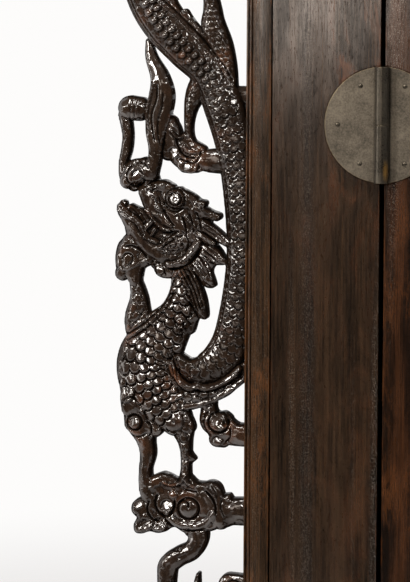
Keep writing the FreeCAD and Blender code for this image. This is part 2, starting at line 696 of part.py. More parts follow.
def build_doors():
    height = (DOOR_LOW, DOOR_TOP)
    thick = apart(FACE, "door_thick")
    inner, outer = "door_gap / 2", f"({OPEN_HALF} - hinge_gap)"
    cheek = about(f"({FACE} + panel_tongue_place + panel_tongue / 2)", "tenon_thick")
    for side in SIDES:
        hinge_stile, meeting_stile = f"{side}_door_hinge_stile", f"{side}_door_meeting_stile"
        add(hinge_stile, block(across(side, f"{outer} - door_frame", outer), thick, height))
        add(meeting_stile, block(across(side, inner, f"{inner} + door_frame"), thick, height))
        clear = (f"{inner} + door_frame", f"{outer} - door_frame")
        levels = (apart(DOOR_LOW, "door_frame"), (f"{DOOR_TOP} - door_frame", DOOR_TOP))
        rails = (f"{side}_door_lower_rail", f"{side}_door_upper_rail")
        for rail, level in zip(rails, levels):
            add(rail, block(across(side, *clear), thick, level))
            tall = (f"{level[0]} + 2 * tongue_reach", f"{level[1]} - 2 * tongue_reach")
            let_in(rail, [meeting_stile], across(side, f"{clear[0]} - door_tenon", clear[0]), cheek, tall)
            let_in(rail, [hinge_stile], across(side, clear[1], f"{clear[1]} + door_tenon"), cheek, tall)
        field = (f"{DOOR_LOW} + door_frame", f"{DOOR_TOP} - door_frame")
        panel = f"{side}_door_panel"
        add(panel, block(across(side, *clear), apart(f"{FACE} + panel_recess", "panel_thick"), field))
        let_in(panel, [hinge_stile, meeting_stile, *rails], grown(across(side, *clear), "tongue_reach"),
               apart(f"{FACE} + panel_tongue_place", "panel_tongue"), grown(field, "tongue_reach"))
        for place, share in (("lower", "1 / 3"), ("upper", "2 / 3")):
            batten = f"{side}_door_{place}_batten"
            middle = f"({DOOR_LOW} + door_height * {share})"
            add(batten, block(across(side, *clear), (f"{FACE} + panel_recess + panel_thick", thick[1]),
                              about(middle, "batten_width")))
            gather(f"{side}_door_battens", batten)
        gather(f"{side}_door_stiles", hinge_stile, meeting_stile)
        gather(f"{side}_door_rails", *rails)


def build_drawers():
    rear = f"({REAR_RAIL} - drawer_behind)"
    inner, outer = "(divider / 2 + drawer_gap)", f"({OPEN_HALF} - drawer_gap)"
    low = f"({MIDDLE_TOP} + drawer_clear)"
    wall = apart(low, "drawer_side")
    floor = apart(f"{low} + drawer_bottom_place", "drawer_bottom")
    for side in SIDES:
        front, back, base = f"{side}_drawer_front", f"{side}_drawer_back", f"{side}_drawer_bottom"
        add(front, block(across(side, inner, outer), apart(FACE, "drawer_front"),
                         (f"{MIDDLE_TOP} + drawer_gap", f"{DRAWER_TOP} - drawer_gap")))
        run = (f"{FACE} + drawer_front - drawer_lap", rear)
        walls = (f"{side}_drawer_inner_side", f"{side}_drawer_outer_side")
        for name, span in zip(walls, ((inner, f"{inner} + drawer_wall"), (f"{outer} - drawer_wall", outer))):
            add(name, block(across(side, *span), run, wall))
            take(front, block(across(side, *span), (run[0], f"{FACE} + drawer_front + overcut"), grown(wall)))
        clear = across(side, f"{inner} + drawer_wall", f"{outer} - drawer_wall")
        add(back, block(clear, (f"{rear} - drawer_wall", rear), (floor[1], wall[1])))
        let_in(base, [front, *walls], grown(clear, "drawer_wall / 2"),
               (f"{FACE} + drawer_front - drawer_lap / 2", rear), floor)
        gather(f"{side}_drawer_walls", *walls, back)
        middle = outward(side, f"({inner} + {outer}) / 2")
        level = f"({MIDDLE_TOP} + drawer_opening / 2)"
        plate = f"{side}_drawer_pull_plate"
        add(plate, rod("pull_plate", "leaf_thick", (middle, FACE, level), FORWARD))
        fittings = build_pull(f"{side}_drawer", middle, level, (plate, front))
        spots = round_of(middle, level, "plate_nail_circle", (0, 180))
        studs = nails(f"{side}_drawer_nails", spots, LEAF_FRONT)
        take(plate, studs)
        take(front, studs)
        add(f"{side}_drawer_studs", studs)
        gather(f"{side}_drawer_fittings", plate, *fittings, f"{side}_drawer_studs")


# The dragon, drawn on a grid as limbs: how far out from the leg's face and how far below the top each
# point lies, and the limb's half width there. The first number is the limb's share of the full thickness.
DRAGON = {
    "tail": (0.97, [(50, 6, 3), (36, 18, 7), (26, 36, 9), (30, 58, 11), (48, 74, 13), (70, 84, 16),
                    (91, 98, 18), (103, 122, 20), (104, 152, 22), (96, 180, 22.5), (81, 205, 22),
                    (59, 230, 20), (35, 254, 18)]),
    "trunk": (1.0, [(37, 253, 18), (22, 285, 20), (10, 326, 19), (4, 366, 18), (0, 420, 17), (2, 460, 18),
                    (6, 500, 19.5), (14, 532, 21.5), (34, 560, 21.5), (58, 572, 21), (84, 572, 26)]),
    "chest": (0.98, [(61, 448, 12), (62, 472, 13), (68, 496, 19), (84, 519, 27), (98, 542, 30),
                     (95, 566, 31), (82, 588, 25), (68, 606, 16.5), (59, 622, 9), (58, 634, 6),
                     (58, 650, 5), (58, 664, 6), (60, 676, 9)]),
    "spur": (0.7, [(58, 641, 5), (48, 641, 2)]),
    "arm": (0.93, [(98, 524, 20), (107, 502, 14.5), (107, 480, 9), (110, 464, 6), (113, 448, 12),
                   (115, 432, 14), (114, 424, 10)]),
    "wrist_curl": (0.85, [(106, 442, 10), (98, 440, 8)]),
    "beard": (0.8, [(118, 446, 11), (123, 455, 8)]),
    "upper_jaw": (1.0, [(102, 384, 5), (90, 376, 11), (74, 382, 16), (58, 394, 17), (46, 406, 17),
                        (38, 424, 17), (42, 442, 16)]),
    "lower_jaw": (0.95, [(125, 386, 4.5), (118, 398, 9), (106, 411, 14), (90, 424, 18), (72, 432, 20),
                         (58, 438, 18)]),
    "mouth": (0.7, [(116, 388, 4), (100, 396, 9), (84, 406, 12), (66, 414, 14)]),
    "throat": (0.8, [(84, 444, 9), (76, 449, 11), (66, 448, 12)]),
    "brow": (0.96, [(88, 366, 7), (78, 368, 6), (66, 373, 7), (52, 382, 7), (42, 384, 5)]),
    "ear": (0.9, [(46, 390, 6), (36, 394, 4.5), (27, 398, 4)]),
    "horn": (0.85, [(40, 406, 7), (26, 416, 6), (10, 424, 5)]),
    "mane_long": (0.9, [(54, 442, 13), (47, 464, 11), (41, 486, 5)]),
    "mane_short": (0.9, [(44, 432, 12), (30, 442, 12), (24, 448, 7)]),
    "mane_tip": (0.8, [(36, 450, 9), (31, 464, 4)]),
    "fin_high": (0.75, [(54, 490, 10), (39, 498, 3.5)]),
    "fin_middle": (0.75, [(62, 508, 10), (51, 515, 3)]),
    "fin_low": (0.75, [(74, 518, 10), (64, 524, 3)]),
    "nose": (0.9, [(118, 362, 8.5), (110, 353, 13), (101, 347, 9)]),
    "nose_root": (0.85, [(104, 348, 9), (96, 360, 9), (98, 372, 9)]),
    "whisker_ball": (0.85, [(106, 290, 12), (116, 289, 12.5)]),
    "whisker": (0.75, [(122, 296, 6.5), (119, 315, 5.5), (120, 330, 5.5), (123, 345, 5), (120, 358, 7),
                       (112, 366, 7)]),
    "plume": (0.85, [(98, 222, 3), (95, 238, 5.5), (86, 258, 8.5), (84, 276, 12), (87, 294, 12),
                     (90, 312, 9), (90, 328, 6), (91, 342, 6), (95, 352, 8)]),
    "foot": (0.85, [(80, 297, 6), (75, 310, 10), (72, 326, 11), (66, 338, 9), (56, 344, 9), (46, 341, 10),
                    (32, 341, 12), (20, 341, 13)]),
    "foot_pad": (0.9, [(59, 346, 7), (53, 346, 7.5)]),
    "shank": (0.75, [(42, 264, 15), (50, 275, 11), (55, 288, 7), (57, 306, 4.5), (55, 322, 5),
                     (46, 332, 8)]),
    "hind_leg": (0.8, [(41, 144, 6), (38, 158, 6), (36, 174, 7), (34, 190, 9), (33, 206, 12),
                       (26, 226, 12.5), (20, 246, 10.5), (17, 266, 9)]),
    "dorsal_fin": (0.7, [(62, 191, 3), (54, 204, 8), (44, 216, 12)]),
    "bar": (0.6, [(14, 275, 9), (-8, 275, 9)]),
    "knee": (0.9, [(114, 573, 10), (109, 591, 14), (101, 607, 19.5), (98, 624, 12), (98, 640, 8),
                   (100, 656, 7), (98, 672, 8), (94, 683, 9)]),
    "low_cloud": (0.9, [(103, 693, 10), (86, 688, 13), (61, 688, 22.5), (40, 687, 20), (24, 697, 15),
                        (6, 694, 13), (-8, 694, 13)]),
    "low_lobe_outer": (0.85, [(102, 710, 9), (86, 710, 9)]),
    "low_lobe_inner": (0.95, [(32, 676, 12), (22, 702, 11)]),
    "low_ridge": (0.8, [(96, 672, 8), (81, 664, 7), (68, 670, 7)]),
    "scroll": (0.85, [(50, 706, 14), (45, 722, 10.5), (51, 735, 10), (64, 742, 10), (75, 751, 10.5),
                      (77, 764, 9.5), (76, 780, 9), (67, 797, 9), (50, 807, 8.5), (30, 812, 8.5),
                      (10, 816, 9), (-8, 818, 9)]),
    "leaf": (0.7, [(56, 800, 8), (48, 780, 5), (45, 760, 2)]),
    "end_curl": (0.75, [(38, 811, 8), (30, 830, 8), (17, 842, 6), (8, 845, 4)]),
    "side_stem": (0.8, [(34, 584, 7), (36, 598, 8)]),
    "side_cloud": (0.9, [(32, 603, 11), (24, 608, 14), (8, 616, 11.5), (-8, 617, 11.5)]),
    "side_lobe": (0.85, [(26, 621, 8.5), (20, 622, 8)]),
    "foot_cloud": (0.85, [(13, 769, 11), (-8, 772, 12)]),
    "foot_stem": (0.75, [(15, 774, 8), (22, 794, 7), (30, 811, 8)]),
    "hind_foot": (0.8, [(41, 144, 6), (37, 131, 9), (23, 122, 12), (6, 120, 12), (-8, 120, 12)]),
    "hind_claw": (0.7, [(42, 133, 7), (52, 124, 5), (58, 112, 2)]),
    "tuft_inner": (0.85, [(28, 34, 8), (18, 18, 8), (8, 4, 8), (2, -8, 8)]),
    "tuft_outer": (0.8, [(34, 24, 7), (44, 10, 6), (52, -8, 5)]),
    "link_cloud": (0.85, [(76, -8, 9), (74, 16, 8), (70, 42, 8), (72, 68, 10)]),
    "link_lobe": (0.9, [(76, 18, 8), (88, 13, 10)]),
    "top_cloud": (0.9, [(112, 24, 12), (134, 18, 19), (160, 13, 17), (186, 7, 12), (210, 3, 8),
                        (232, 1, 5)]),
    "cloud_stem": (0.75, [(118, 34, 9), (108, 58, 7), (98, 82, 10)]),
    "hung_cloud": (0.85, [(142, 44, 10), (154, 38, 12), (166, 33, 9)]),
    "outer_stem": (0.75, [(128, 96, 8), (120, 110, 7), (110, 124, 9)]),
    "outer_cloud": (0.85, [(128, 98, 8), (140, 88, 12), (151, 74, 9)]),
}


# A limb's outline at one depth, its width taken by a share, with both ends rounded off
def limb_wire(points, share, level):
    grid = amount("carving_grid")
    spots = [Vector(-out * grid, level, -down * grid) for out, down, _ in points]
    widths = [half * grid * share for _, _, half in points]
    path = Part.BSplineCurve()
    path.interpolate(spots)
    ways = [Vector(*path.tangent(path.parameter(spot))[0]) for spot in spots]
    asides = [Vector(way.z, 0, -way.x) for way in ways]
    flanks = [[spot + aside * width * turn for spot, aside, width in zip(spots, asides, widths)]
              for turn in (1, -1)]
    caps = []
    for at, turn in ((0, -1), (-1, 1)):
        slant = [asides[at] + ways[at] * turn, ways[at] * turn, ways[at] * turn - asides[at]]
        caps.append([spots[at] + way.normalize() * widths[at] for way in slant])
    outline_points = [*flanks[0], *caps[1], *reversed(flanks[1]), *reversed(caps[0])]
    return Part.makePolygon([*outline_points, outline_points[0]])


def build_dragon():
    thick, bevel, crown = amount("carving_thick"), amount("carving_bevel"), amount("carving_crown")
    solids = []
    for share, points in DRAGON.values():
        front = thick * (1 - share)
        sections = [limb_wire(points, 1, thick), limb_wire(points, 1, front + bevel),
                    limb_wire(points, crown, front)]
        solids.append(Part.makeLoft(sections, True, True))
    figure = solids[0].multiFuse(solids[1:])
    drop, reach = amount("carving_drop"), amount("carving_tongue_reach")
    wide = amount("top_length") / 2
    keep = Part.makeBox(wide, thick, drop, Vector(-wide, 0, -drop))
    slip = Part.makeBox(reach, amount("carving_tongue"), drop,
                        Vector(0, (thick - amount("carving_tongue")) / 2, -drop))
    carving = figure.common(keep.fuse(slip)).removeSplitter()
    left = doc.addObject("Part::Feature", "left_dragon_figure")
    left.Shape = carving
    left.setExpression("Placement.Base.x", bind(f"-{HALF}"))
    left.setExpression("Placement.Base.y", bind(f"{LEG_FRONT} + carving_setback"))
    left.setExpression("Placement.Base.z", bind(CASE_TOP))
    right = doc.addObject("Part::Mirroring", "right_dragon_figure")
    right.Source = left
    right.Normal = Vector(1, 0, 0)
    add("left_dragon_spandrel", left)
    add("right_dragon_spandrel", right)
    middle = f"({LEG_FRONT} + carving_setback + carving_thick / 2)"
    for side in SIDES:
        slot = across(side, f"{HALF} - carving_tongue_reach - fit_gap", f"{HALF} + overcut")
        take(f"front_{side}_leg", block(slot, grown(about(middle, "carving_tongue")),
                                        (f"{CASE_TOP} - carving_drop", f"{CASE_TOP} + overcut")))


def joined(name, solids):
    if len(solids) == 1:
        return solids[0]
    whole = doc.addObject("Part::MultiFuse", name)
    whole.Shapes = solids
    whole.Refine = True
    return whole


build_top()
build_legs()
build_front()
build_sides()
build_back()
build_inside()
build_aprons()
build_doors()
build_hinges()
build_locks()
build_drawers()
build_dragon()

pieces = {}
for name, solids in material.items():
    piece = joined(f"{name}_joined", solids)
    if name in openings:
        shaped = doc.addObject("Part::Cut", f"{name}_shaped")
        shaped.Base = piece
        shaped.Tool = joined(f"{name}_cutters", openings[name])
        piece = shaped
    if name in rolled:
        piece = joined(f"{name}_rolled", [piece, *rolled[name]])
    pieces[name] = piece

nodes = {}
grouped = {piece for members in groups.values() for piece in members}
for name, piece in pieces.items():
    if name not in grouped:
        nodes[name] = piece
for name, members in groups.items():
    bundle = doc.addObject("Part::Compound", f"{name}_bundle")
    bundle.Links = [pieces[member] for member in members]
    nodes[name] = bundle
for name in ("left_door_nails", "right_door_nails", "case_hinge_nails"):
    nodes[name] = doc.getObject(name)
for name, node in nodes.items():
    node.Label = name

doc.recompute()
failed = [item.Label for item in doc.Objects if {"Invalid", "Error"} & set(item.State)]
if failed:
    raise RuntimeError(f"failed: {failed}")
broken = [name for name, node in nodes.items() if node.Shape.isNull() or not node.Shape.isValid()]
if broken:
    raise RuntimeError(f"no valid shape: {broken}")

os.makedirs("parts", exist_ok=True)
for name, node in nodes.items():
    node.Shape.exportStep(f"parts/{name}.step")
print(len(nodes), "nodes,", sum(len(node.Shape.Solids) for node in nodes.values()), "solids")
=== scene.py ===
import math
import bmesh
import bpy
import numpy as np
from mathutils import Matrix, Vector


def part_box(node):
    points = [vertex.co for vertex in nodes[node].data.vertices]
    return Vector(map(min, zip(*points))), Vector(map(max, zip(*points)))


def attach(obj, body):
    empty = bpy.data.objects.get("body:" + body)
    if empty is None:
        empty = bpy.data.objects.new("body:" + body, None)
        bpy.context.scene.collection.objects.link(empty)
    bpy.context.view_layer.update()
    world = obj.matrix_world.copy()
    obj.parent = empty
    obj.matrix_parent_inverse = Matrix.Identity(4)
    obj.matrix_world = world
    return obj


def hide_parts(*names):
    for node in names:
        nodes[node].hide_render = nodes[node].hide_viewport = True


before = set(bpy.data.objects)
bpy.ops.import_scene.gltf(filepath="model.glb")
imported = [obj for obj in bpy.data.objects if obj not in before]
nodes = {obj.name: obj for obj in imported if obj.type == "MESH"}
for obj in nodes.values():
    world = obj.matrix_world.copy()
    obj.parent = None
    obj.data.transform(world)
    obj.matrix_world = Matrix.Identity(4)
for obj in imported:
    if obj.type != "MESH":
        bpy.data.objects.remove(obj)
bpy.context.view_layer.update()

print("cabinet loaded,", len(nodes), "nodes")


# The spandrel is drawn on a grid: columns run towards the leg, rows run down. Half widths are in grid steps,
# levels and drops in millimetres.
drawing = {"legColumn": 246, "topRow": -180, "gridMm": 0.868, "lastRow": 675, "cell": 0.92, "lean": 3}

# level, drop at the edges, points of column, row and half width, and how it is cut if it is
limbs = {
    "bar": (15, 2, [(232, 95, 9), (256, 95, 9)]),
    "hindFoot": (19, 7, [(205, -36, 6), (209, -49, 9), (223, -58, 12), (240, -60, 12),
        (256, -60, 12)], "grooves", 3, 0.8),
    "hindClaw": (17, 5, [(204, -47, 7), (194, -56, 5), (188, -68, 2)]),
    "hindLeg": (20.5, 9, [(205, -36, 6), (208, -22, 6), (210, -6, 7), (212, 10, 9), (213, 26, 12),
        (220, 46, 12.5), (226, 66, 10.5), (229, 86, 9)], "scales", 5.5, 5.5, 1.0, -1),
    "body": (23, 9, [(196, -174, 3), (210, -162, 7), (220, -144, 9), (216, -122, 11), (198, -106, 13),
        (176, -96, 16), (155, -82, 18), (143, -58, 20), (142, -28, 22), (150, 0, 22.5), (165, 25, 22),
        (187, 50, 20), (209, 73, 18), (224, 105, 20), (236, 146, 19), (242, 186, 18), (246, 240, 17.5),
        (245, 280, 18.5), (240, 318, 19.5), (233, 344, 19.5), (220, 363, 18.5), (204, 372, 16),
        (190, 370, 11), (180, 360, 6)], "serpent", 8.8, 8.6, 1.3),
    "shank": (18, 7, [(204, 84, 15), (196, 95, 11), (191, 108, 7), (189, 126, 4.5), (191, 142, 5),
        (200, 152, 8)], "scales", 5, 5, 0.7, 1),
    "plume": (24, 1.4, [(148, 42, 3), (151, 58, 5.5), (160, 78, 8.5), (162, 96, 12), (159, 114, 12),
        (156, 132, 9), (156, 148, 6), (155, 162, 6), (151, 172, 8)], "ridge", -0.05, 1.1, 0.25, 40),
    "foot": (20, 7, [(166, 117, 6), (171, 130, 10), (174, 146, 11), (180, 158, 9), (190, 164, 9),
        (200, 161, 10), (214, 161, 12), (228, 161, 12)]),
    "footPad": (21.5, 2.5, [(187, 166, 7), (193, 166, 7.5)]),
    "whisker": (17, 6, [(124, 116, 6.5), (127, 135, 5.5), (126, 150, 5.5), (123, 165, 5), (126, 178, 7),
        (134, 186, 7)]),
    "whiskerBall": (21, 9, [(140, 110, 12), (130, 109, 12.5)], "stripes", 0.9),
    "noseRoot": (19, 7, [(142, 168, 9), (150, 180, 9), (148, 192, 9)]),
    "nose": (21.5, 9, [(128, 182, 8.5), (136, 173, 13), (145, 167, 9)]),
    "arm": (20, 8, [(148, 344, 20), (139, 322, 14.5), (139, 300, 9),
        (136, 284, 6)], "scales", 9, 9, 1.2, 1),
    "wrist": (20.5, 7, [(136, 284, 6), (133, 268, 12), (131, 252, 14), (132, 244, 10)]),
    "wristCurl": (19, 5, [(140, 262, 10), (148, 260, 8)]),
    "beard": (18.5, 6, [(128, 266, 11), (123, 275, 8)]),
    "chest": (23.5, 10, [(185, 266, 12), (184, 292, 13), (178, 316, 19), (162, 339, 27), (148, 362, 30),
        (151, 386, 30), (163, 408, 25), (177, 424, 15)], "chest", 8.8, 10.6, 3.1),
    "foreleg": (20.5, 8, [(174, 416, 14), (184, 430, 11.5), (187, 445, 7), (188, 458, 5.5),
        (188, 472, 5), (187, 486, 7)], "scales", 9, 8, 1.4, 1),
    "loopRim": (20.5, 2, [(178, 410, 3), (192, 408, 3), (206, 405, 3), (220, 399, 3.2), (233, 391, 3.2),
        (246, 381, 3)]),
    "loopScales": (19.8, 3, [(182, 401, 7), (198, 398, 8.5), (214, 393, 8), (228, 386, 6),
        (240, 377, 4)], "scales", 8.4, 8.5, 2.2, 1),
    "innerLoop": (20.5, 4, [(168, 346, 5), (167, 360, 6), (172, 374, 6.5), (182, 385, 5),
        (194, 390, 2.5)], "grooves", 4, 1.3),
    "wave": (24.5, 1.5, [(242, 369, 2), (238, 374, 2.2), (230, 380.5, 2.4), (222, 385, 2.4),
        (215, 388, 2.6), (207, 389, 2.4), (200, 387, 2.4), (193, 389, 2.6), (185, 385, 2.6),
        (177, 374, 2.4), (173, 364, 2)], "ridge", -0.7, 3.5),
    "throat": (20, 6, [(157, 266, 5), (164, 270, 9), (174, 270, 10)]),
    "muzzle": (22, 6.5, [(146, 193, 7), (152, 203, 9), (158, 213, 9), (165, 220, 7.5), (172, 226, 4.5)]),
    "browKnob": (22, 5, [(157, 187, 5), (164, 187, 6.5), (171, 190, 6)]),
    "eyeMound": (22.5, 5, [(170, 196, 8), (178, 199, 12), (186, 201, 9)]),
    "temple": (21.8, 6, [(185, 196, 6), (193, 203, 8), (198, 213, 9), (199, 226, 9),
        (198, 238, 8)], "grooves", 2, 1.0),
    "faceSide": (21.2, 5, [(170, 208, 7), (176, 219, 8.5), (183, 230, 9), (188, 242, 8)]),
    "cheek": (21.8, 6, [(163, 250, 8), (172, 247, 11.5), (181, 241, 10)], "scales", 4.6, 5.2, 1.9, 1),
    "lowerJaw": (21, 6, [(121, 208, 4), (126, 216, 6), (133, 226, 8), (142, 238, 9.5), (151, 248, 10),
        (162, 255, 9), (174, 257, 8)]),
    "lowerLip": (22.4, 2.5, [(120, 211, 1.6), (127, 215, 2.2), (135, 220, 2.4), (141, 226, 2.4),
        (145, 234, 2.2), (150, 240, 2.2), (158, 243, 1.6)], "grooves", 2, 1.0),
    "upperLip": (22.6, 2.5, [(149, 211, 1.8), (154, 217, 2.2), (159, 223, 2.4), (164, 227.5, 2.4),
        (169, 229.5, 2), (174, 229.5, 1.2)]),
    "tongue": (19.5, 3, [(146, 230, 2), (150, 225, 3), (155, 220, 2)]),
    "tooth": (19.5, 3, [(153, 236, 1.6), (156, 230, 2.6)]),
    "ear": (22.5, 4, [(199, 208, 5), (206, 212, 5), (213, 215.5, 4.6), (219, 217, 4.2)]),
    "earKnob": (22, 4, [(201, 203, 3), (205, 204, 3.6)]),
    "hornLow": (22.5, 3.5, [(199, 231, 5), (207, 238, 4.5), (216, 243, 3)], "grooves", 2, 1.1),
    "sideStem": (18, 5, [(212, 404, 7), (210, 418, 8)]),
    "sideCloud": (20, 6, [(214, 423, 11), (222, 428, 14), (238, 436, 11.5), (256, 437, 11.5)]),
    "sideLobe": (18.5, 5, [(220, 441, 8.5), (226, 442, 8)]),
    "knee": (20, 8, [(132, 393, 10), (137, 411, 14), (143, 426, 18), (147, 445, 9.5), (149, 459, 8),
        (146.5, 475, 6.6), (148, 492, 8), (152, 503, 9)]),
    "kneeLobe": (20.5, 5, [(150, 430, 9), (157.5, 433, 7.5)]),
    "lowCloud": (20, 6, [(143, 513, 10), (160, 508, 13), (185, 508, 22.5), (206, 507, 20),
        (222, 517, 15), (240, 514, 13), (256, 514, 13)]),
    "lowLobeInner": (21, 5, [(214, 496, 12), (224, 522, 11)]),
    "lowRidge": (20, 4, [(150, 492, 8), (165, 484, 7), (178, 490, 7)]),
    "scroll": (20, 7, [(196, 526, 14), (201, 542, 10.5), (195, 555, 10), (182, 562, 10),
        (171, 571, 10.5), (169, 584, 9.5), (170, 600, 9), (179, 617, 9), (196, 627, 8.5),
        (216, 632, 8.5), (236, 636, 9), (256, 638, 9)], "grooves", 2, 0.7),
    "leaf": (17, 4, [(190, 620, 8), (198, 600, 5), (201, 580, 2)]),
    "endCurl": (18, 5, [(208, 631, 8), (216, 650, 8), (229, 662, 6), (238, 665, 4)]),
    "footCloud": (19, 5, [(233, 589, 11), (256, 592, 12)]),
    "footStem": (18, 5, [(231, 594, 8), (224, 614, 7), (216, 631, 8)]),
    "tuftInner": (20, 6, [(218, -146, 8), (228, -162, 8), (238, -176, 8),
        (244, -188, 8)], "grooves", 3, 1.0),
    "tuftOuter": (19, 5, [(212, -156, 7), (202, -170, 6), (194, -188, 5)], "grooves", 3, 1.0),
    "linkCloud": (20, 6, [(170, -188, 9), (172, -164, 8), (176, -138, 8), (174, -112, 10)]),
    "linkLobe": (20.5, 6, [(170, -162, 8), (158, -167, 10)]),
    "topCloud": (21, 6, [(134, -156, 12), (112, -162, 19), (86, -167, 17), (60, -173, 12),
        (36, -177, 8), (14, -179, 5)]),
    "cloudStem": (18, 5, [(128, -146, 9), (138, -122, 7), (148, -98, 10)]),
    "hungCloud": (19.5, 6, [(104, -136, 10), (92, -142, 12), (80, -147, 9)]),
    "outerStem": (18, 5, [(118, -84, 8), (126, -70, 7), (136, -56, 9)]),
    "outerCloud": (19.5, 6, [(118, -82, 8), (106, -92, 12), (95, -106, 9)]),
}

# flat pieces with a drawn outline: level, drop at the edge, width of the slope, points of column and row
plates = {
    "dorsalFin": (16.5, 2, 5, [(150, -4), (163, -12), (175, -6), (175, 9), (176.5, 13), (185.5, 9),
        (191, 16), (198, 25), (205, 32), (212, 42), (222, 60), (232, 84), (220, 78), (205, 54),
        (188, 36), (168, 15)]),
    "foot": (17.5, 4, 5, [(160, 119), (167, 114), (176, 118), (179, 126), (182, 134), (185, 132),
        (188, 125), (193, 128), (193, 141), (199, 147), (211, 151), (234, 152), (234, 172), (212, 173),
        (205, 171), (199, 173), (189, 172), (183, 167), (178, 162), (166, 161), (160, 155), (157, 138)]),
    "wristCloud": (18, 4, 6, [(125, 238), (118.5, 245), (115.5, 258), (116.5, 272), (120, 280),
        (126, 280.5), (129, 277.5), (132, 284), (141, 284), (141, 269), (150, 261), (154, 255),
        (140, 240)]),
    "backFin": (18, 3, 5, [(184, 278), (200, 288), (207.5, 300), (209.5, 319), (200.5, 320.5),
        (195, 335), (187, 336), (183.5, 344), (174.5, 347.5), (166, 350), (168, 320), (178, 300)]),
    "sideCloud": (18, 4, 5, [(203, 411), (208, 402), (218, 402), (219, 410), (221.5, 414), (228, 413.5),
        (235, 419), (237.5, 427), (254, 431), (254, 447), (234, 447.5), (228, 446), (219, 447.5),
        (213.5, 442), (210, 436), (205, 431), (202, 423)]),
    "lowCloud": (18.5, 4, 5, [(143, 493), (147, 486), (153, 482), (165, 476.5), (175.5, 481),
        (184, 482), (192.5, 479), (200, 485), (210.5, 486), (219, 490), (224.5, 497), (233, 497),
        (238, 502), (254, 504), (254, 526), (237, 528.5), (226.5, 530), (216.5, 534.5), (209, 536),
        (200, 540), (187, 537), (176.5, 532), (169, 536), (160.5, 538), (151.5, 536.5), (144, 539),
        (137, 537.5), (135.5, 530), (138.5, 522), (133.5, 516), (135, 507), (146, 500)]),
    "manePlate": (18.5, 2.5, 4, [(188, 244), (206, 238), (221, 248), (228.5, 263.5), (218, 266),
        (214, 273), (217.5, 287), (207, 287.5), (196, 276), (182, 262)]),
    "maneLong": (21, 3, 4, [(179, 262), (191, 262), (201, 282), (208, 301), (209.5, 319), (202, 317),
        (196, 306), (188, 291), (180, 276)]),
    "maneMiddle": (20, 3, 4, [(188, 256), (203, 257), (212, 270), (217.5, 287), (208, 285), (200, 277),
        (191, 267)]),
    "maneHigh": (21, 3, 5, [(196, 246), (208, 244), (221, 252), (228.5, 263.5), (216, 264), (203, 258)]),
    "loopFin": (17.5, 3, 4, [(250, 362), (250, 381), (243, 384), (233.5, 395.5), (215.5, 404.5),
        (201.5, 410), (189, 413), (170, 412), (158, 385), (164, 352), (173.5, 350), (178, 361),
        (181, 370), (196, 372), (226, 366)]),
    "foreleg": (18.5, 4, 5, [(163, 428), (170, 412), (189, 412), (194, 420.5), (197.5, 431), (193, 440),
        (191.5, 450), (194.5, 457), (198.5, 463), (193.5, 468), (192, 479), (183, 481), (184, 458),
        (180, 446), (172, 434)]),
    "kneeFlame": (21.8, 1.5, 3, [(123, 384), (128, 390), (134, 400), (140, 410), (130, 418), (124, 413),
        (122, 399)]),
    "footPad": (20.5, 2, 3, [(181, 159), (187, 162), (194, 166), (202, 167), (203, 171), (198, 173),
        (189, 172.5), (183, 167.5)]),
    "lowLobe": (20, 4, 5, [(134, 508), (146, 505), (156, 512), (164, 524), (172, 531), (168, 536),
        (160.5, 537.5), (151.5, 536.5), (144, 539), (137, 537.5), (135.5, 530), (138.5, 522),
        (133.5, 516)]),
    "innerMouth": (16.5, 2, 3, [(118, 207), (121.5, 201.5), (126, 202.5), (127.5, 207), (131, 205),
        (139, 208.5), (147, 211.5), (158, 222), (173, 230), (182, 234), (165, 247), (150, 244),
        (142, 236), (136, 227), (126, 220), (119, 214)]),
    "jawPlate": (19.5, 4, 5, [(118, 212), (121, 213), (132, 219), (141, 226), (146, 236), (151, 240.5),
        (160, 244), (172, 236), (183, 231), (192, 238), (199, 248), (190, 260), (176, 267), (164, 267),
        (154, 262), (146, 253), (139, 245), (134, 237.5), (128.5, 245.5), (126.5, 235), (124, 225),
        (118.5, 216)]),
    "facePlate": (19.5, 3, 4, [(140, 191), (148, 184), (157, 183.5), (162, 181), (168.5, 182.5),
        (174, 187), (182, 188.5), (190, 193.5), (199, 202), (208, 202.5), (207, 208), (213, 220),
        (210, 234), (203, 248), (190, 246), (181, 236), (174, 230), (166, 228), (158, 222), (152, 215),
        (147, 210.5), (143.5, 200)]),
    "jawFlange": (24.5, 1.4, 2, [(168, 263.5), (177, 262.5), (186, 258), (192, 250), (197, 243.5),
        (202, 241), (201, 246), (195.5, 254.5), (188, 261.5), (179, 266), (171, 267)]),
    "hornBlade": (22, 3, 4, [(198, 222), (206, 220), (221, 230), (234.5, 244), (231, 247), (216, 241),
        (201, 232)]),
}

# balls stand proud of what they sit on: column, row, radius, rise
balls = {
    "eye": (177.5, 199, 8.6, 2.2),
    "pupil": (177.5, 199, 3.4, 0.8),
    "nostril": (161.7, 208.4, 4.6, 2.4),
    "nosePearl": (138, 176, 9.5, 1.6),
    "earKnob": (203.8, 204.6, 4.2, 1.6),
    "kneePearl": (136.5, 425.5, 6.6, 2.0),
    "sidePearl": (222, 424, 9, 1.5),
    "cloudPearl": (192, 512, 9.5, 3.4),
    "cloudBead": (176, 497.5, 4.4, 2.2),
    "browBead": (152.5, 187, 3.2, 1.6),
    "browBeadRight": (163.5, 185, 3.8, 1.6),
    "lobePearl": (148, 521, 3.2, 1.0),
    "topPearl": (112, -162, 9, 3.0),
    "topPearlSmall": (84, -166, 7, 2.4),
    "linkPearl": (158, -167, 6, 2.2),
    "hungPearl": (92, -142, 7, 2.4),
    "outerPearl": (106, -93, 7, 2.4),
    "footPearl": (238, 591, 6, 2.2),
}

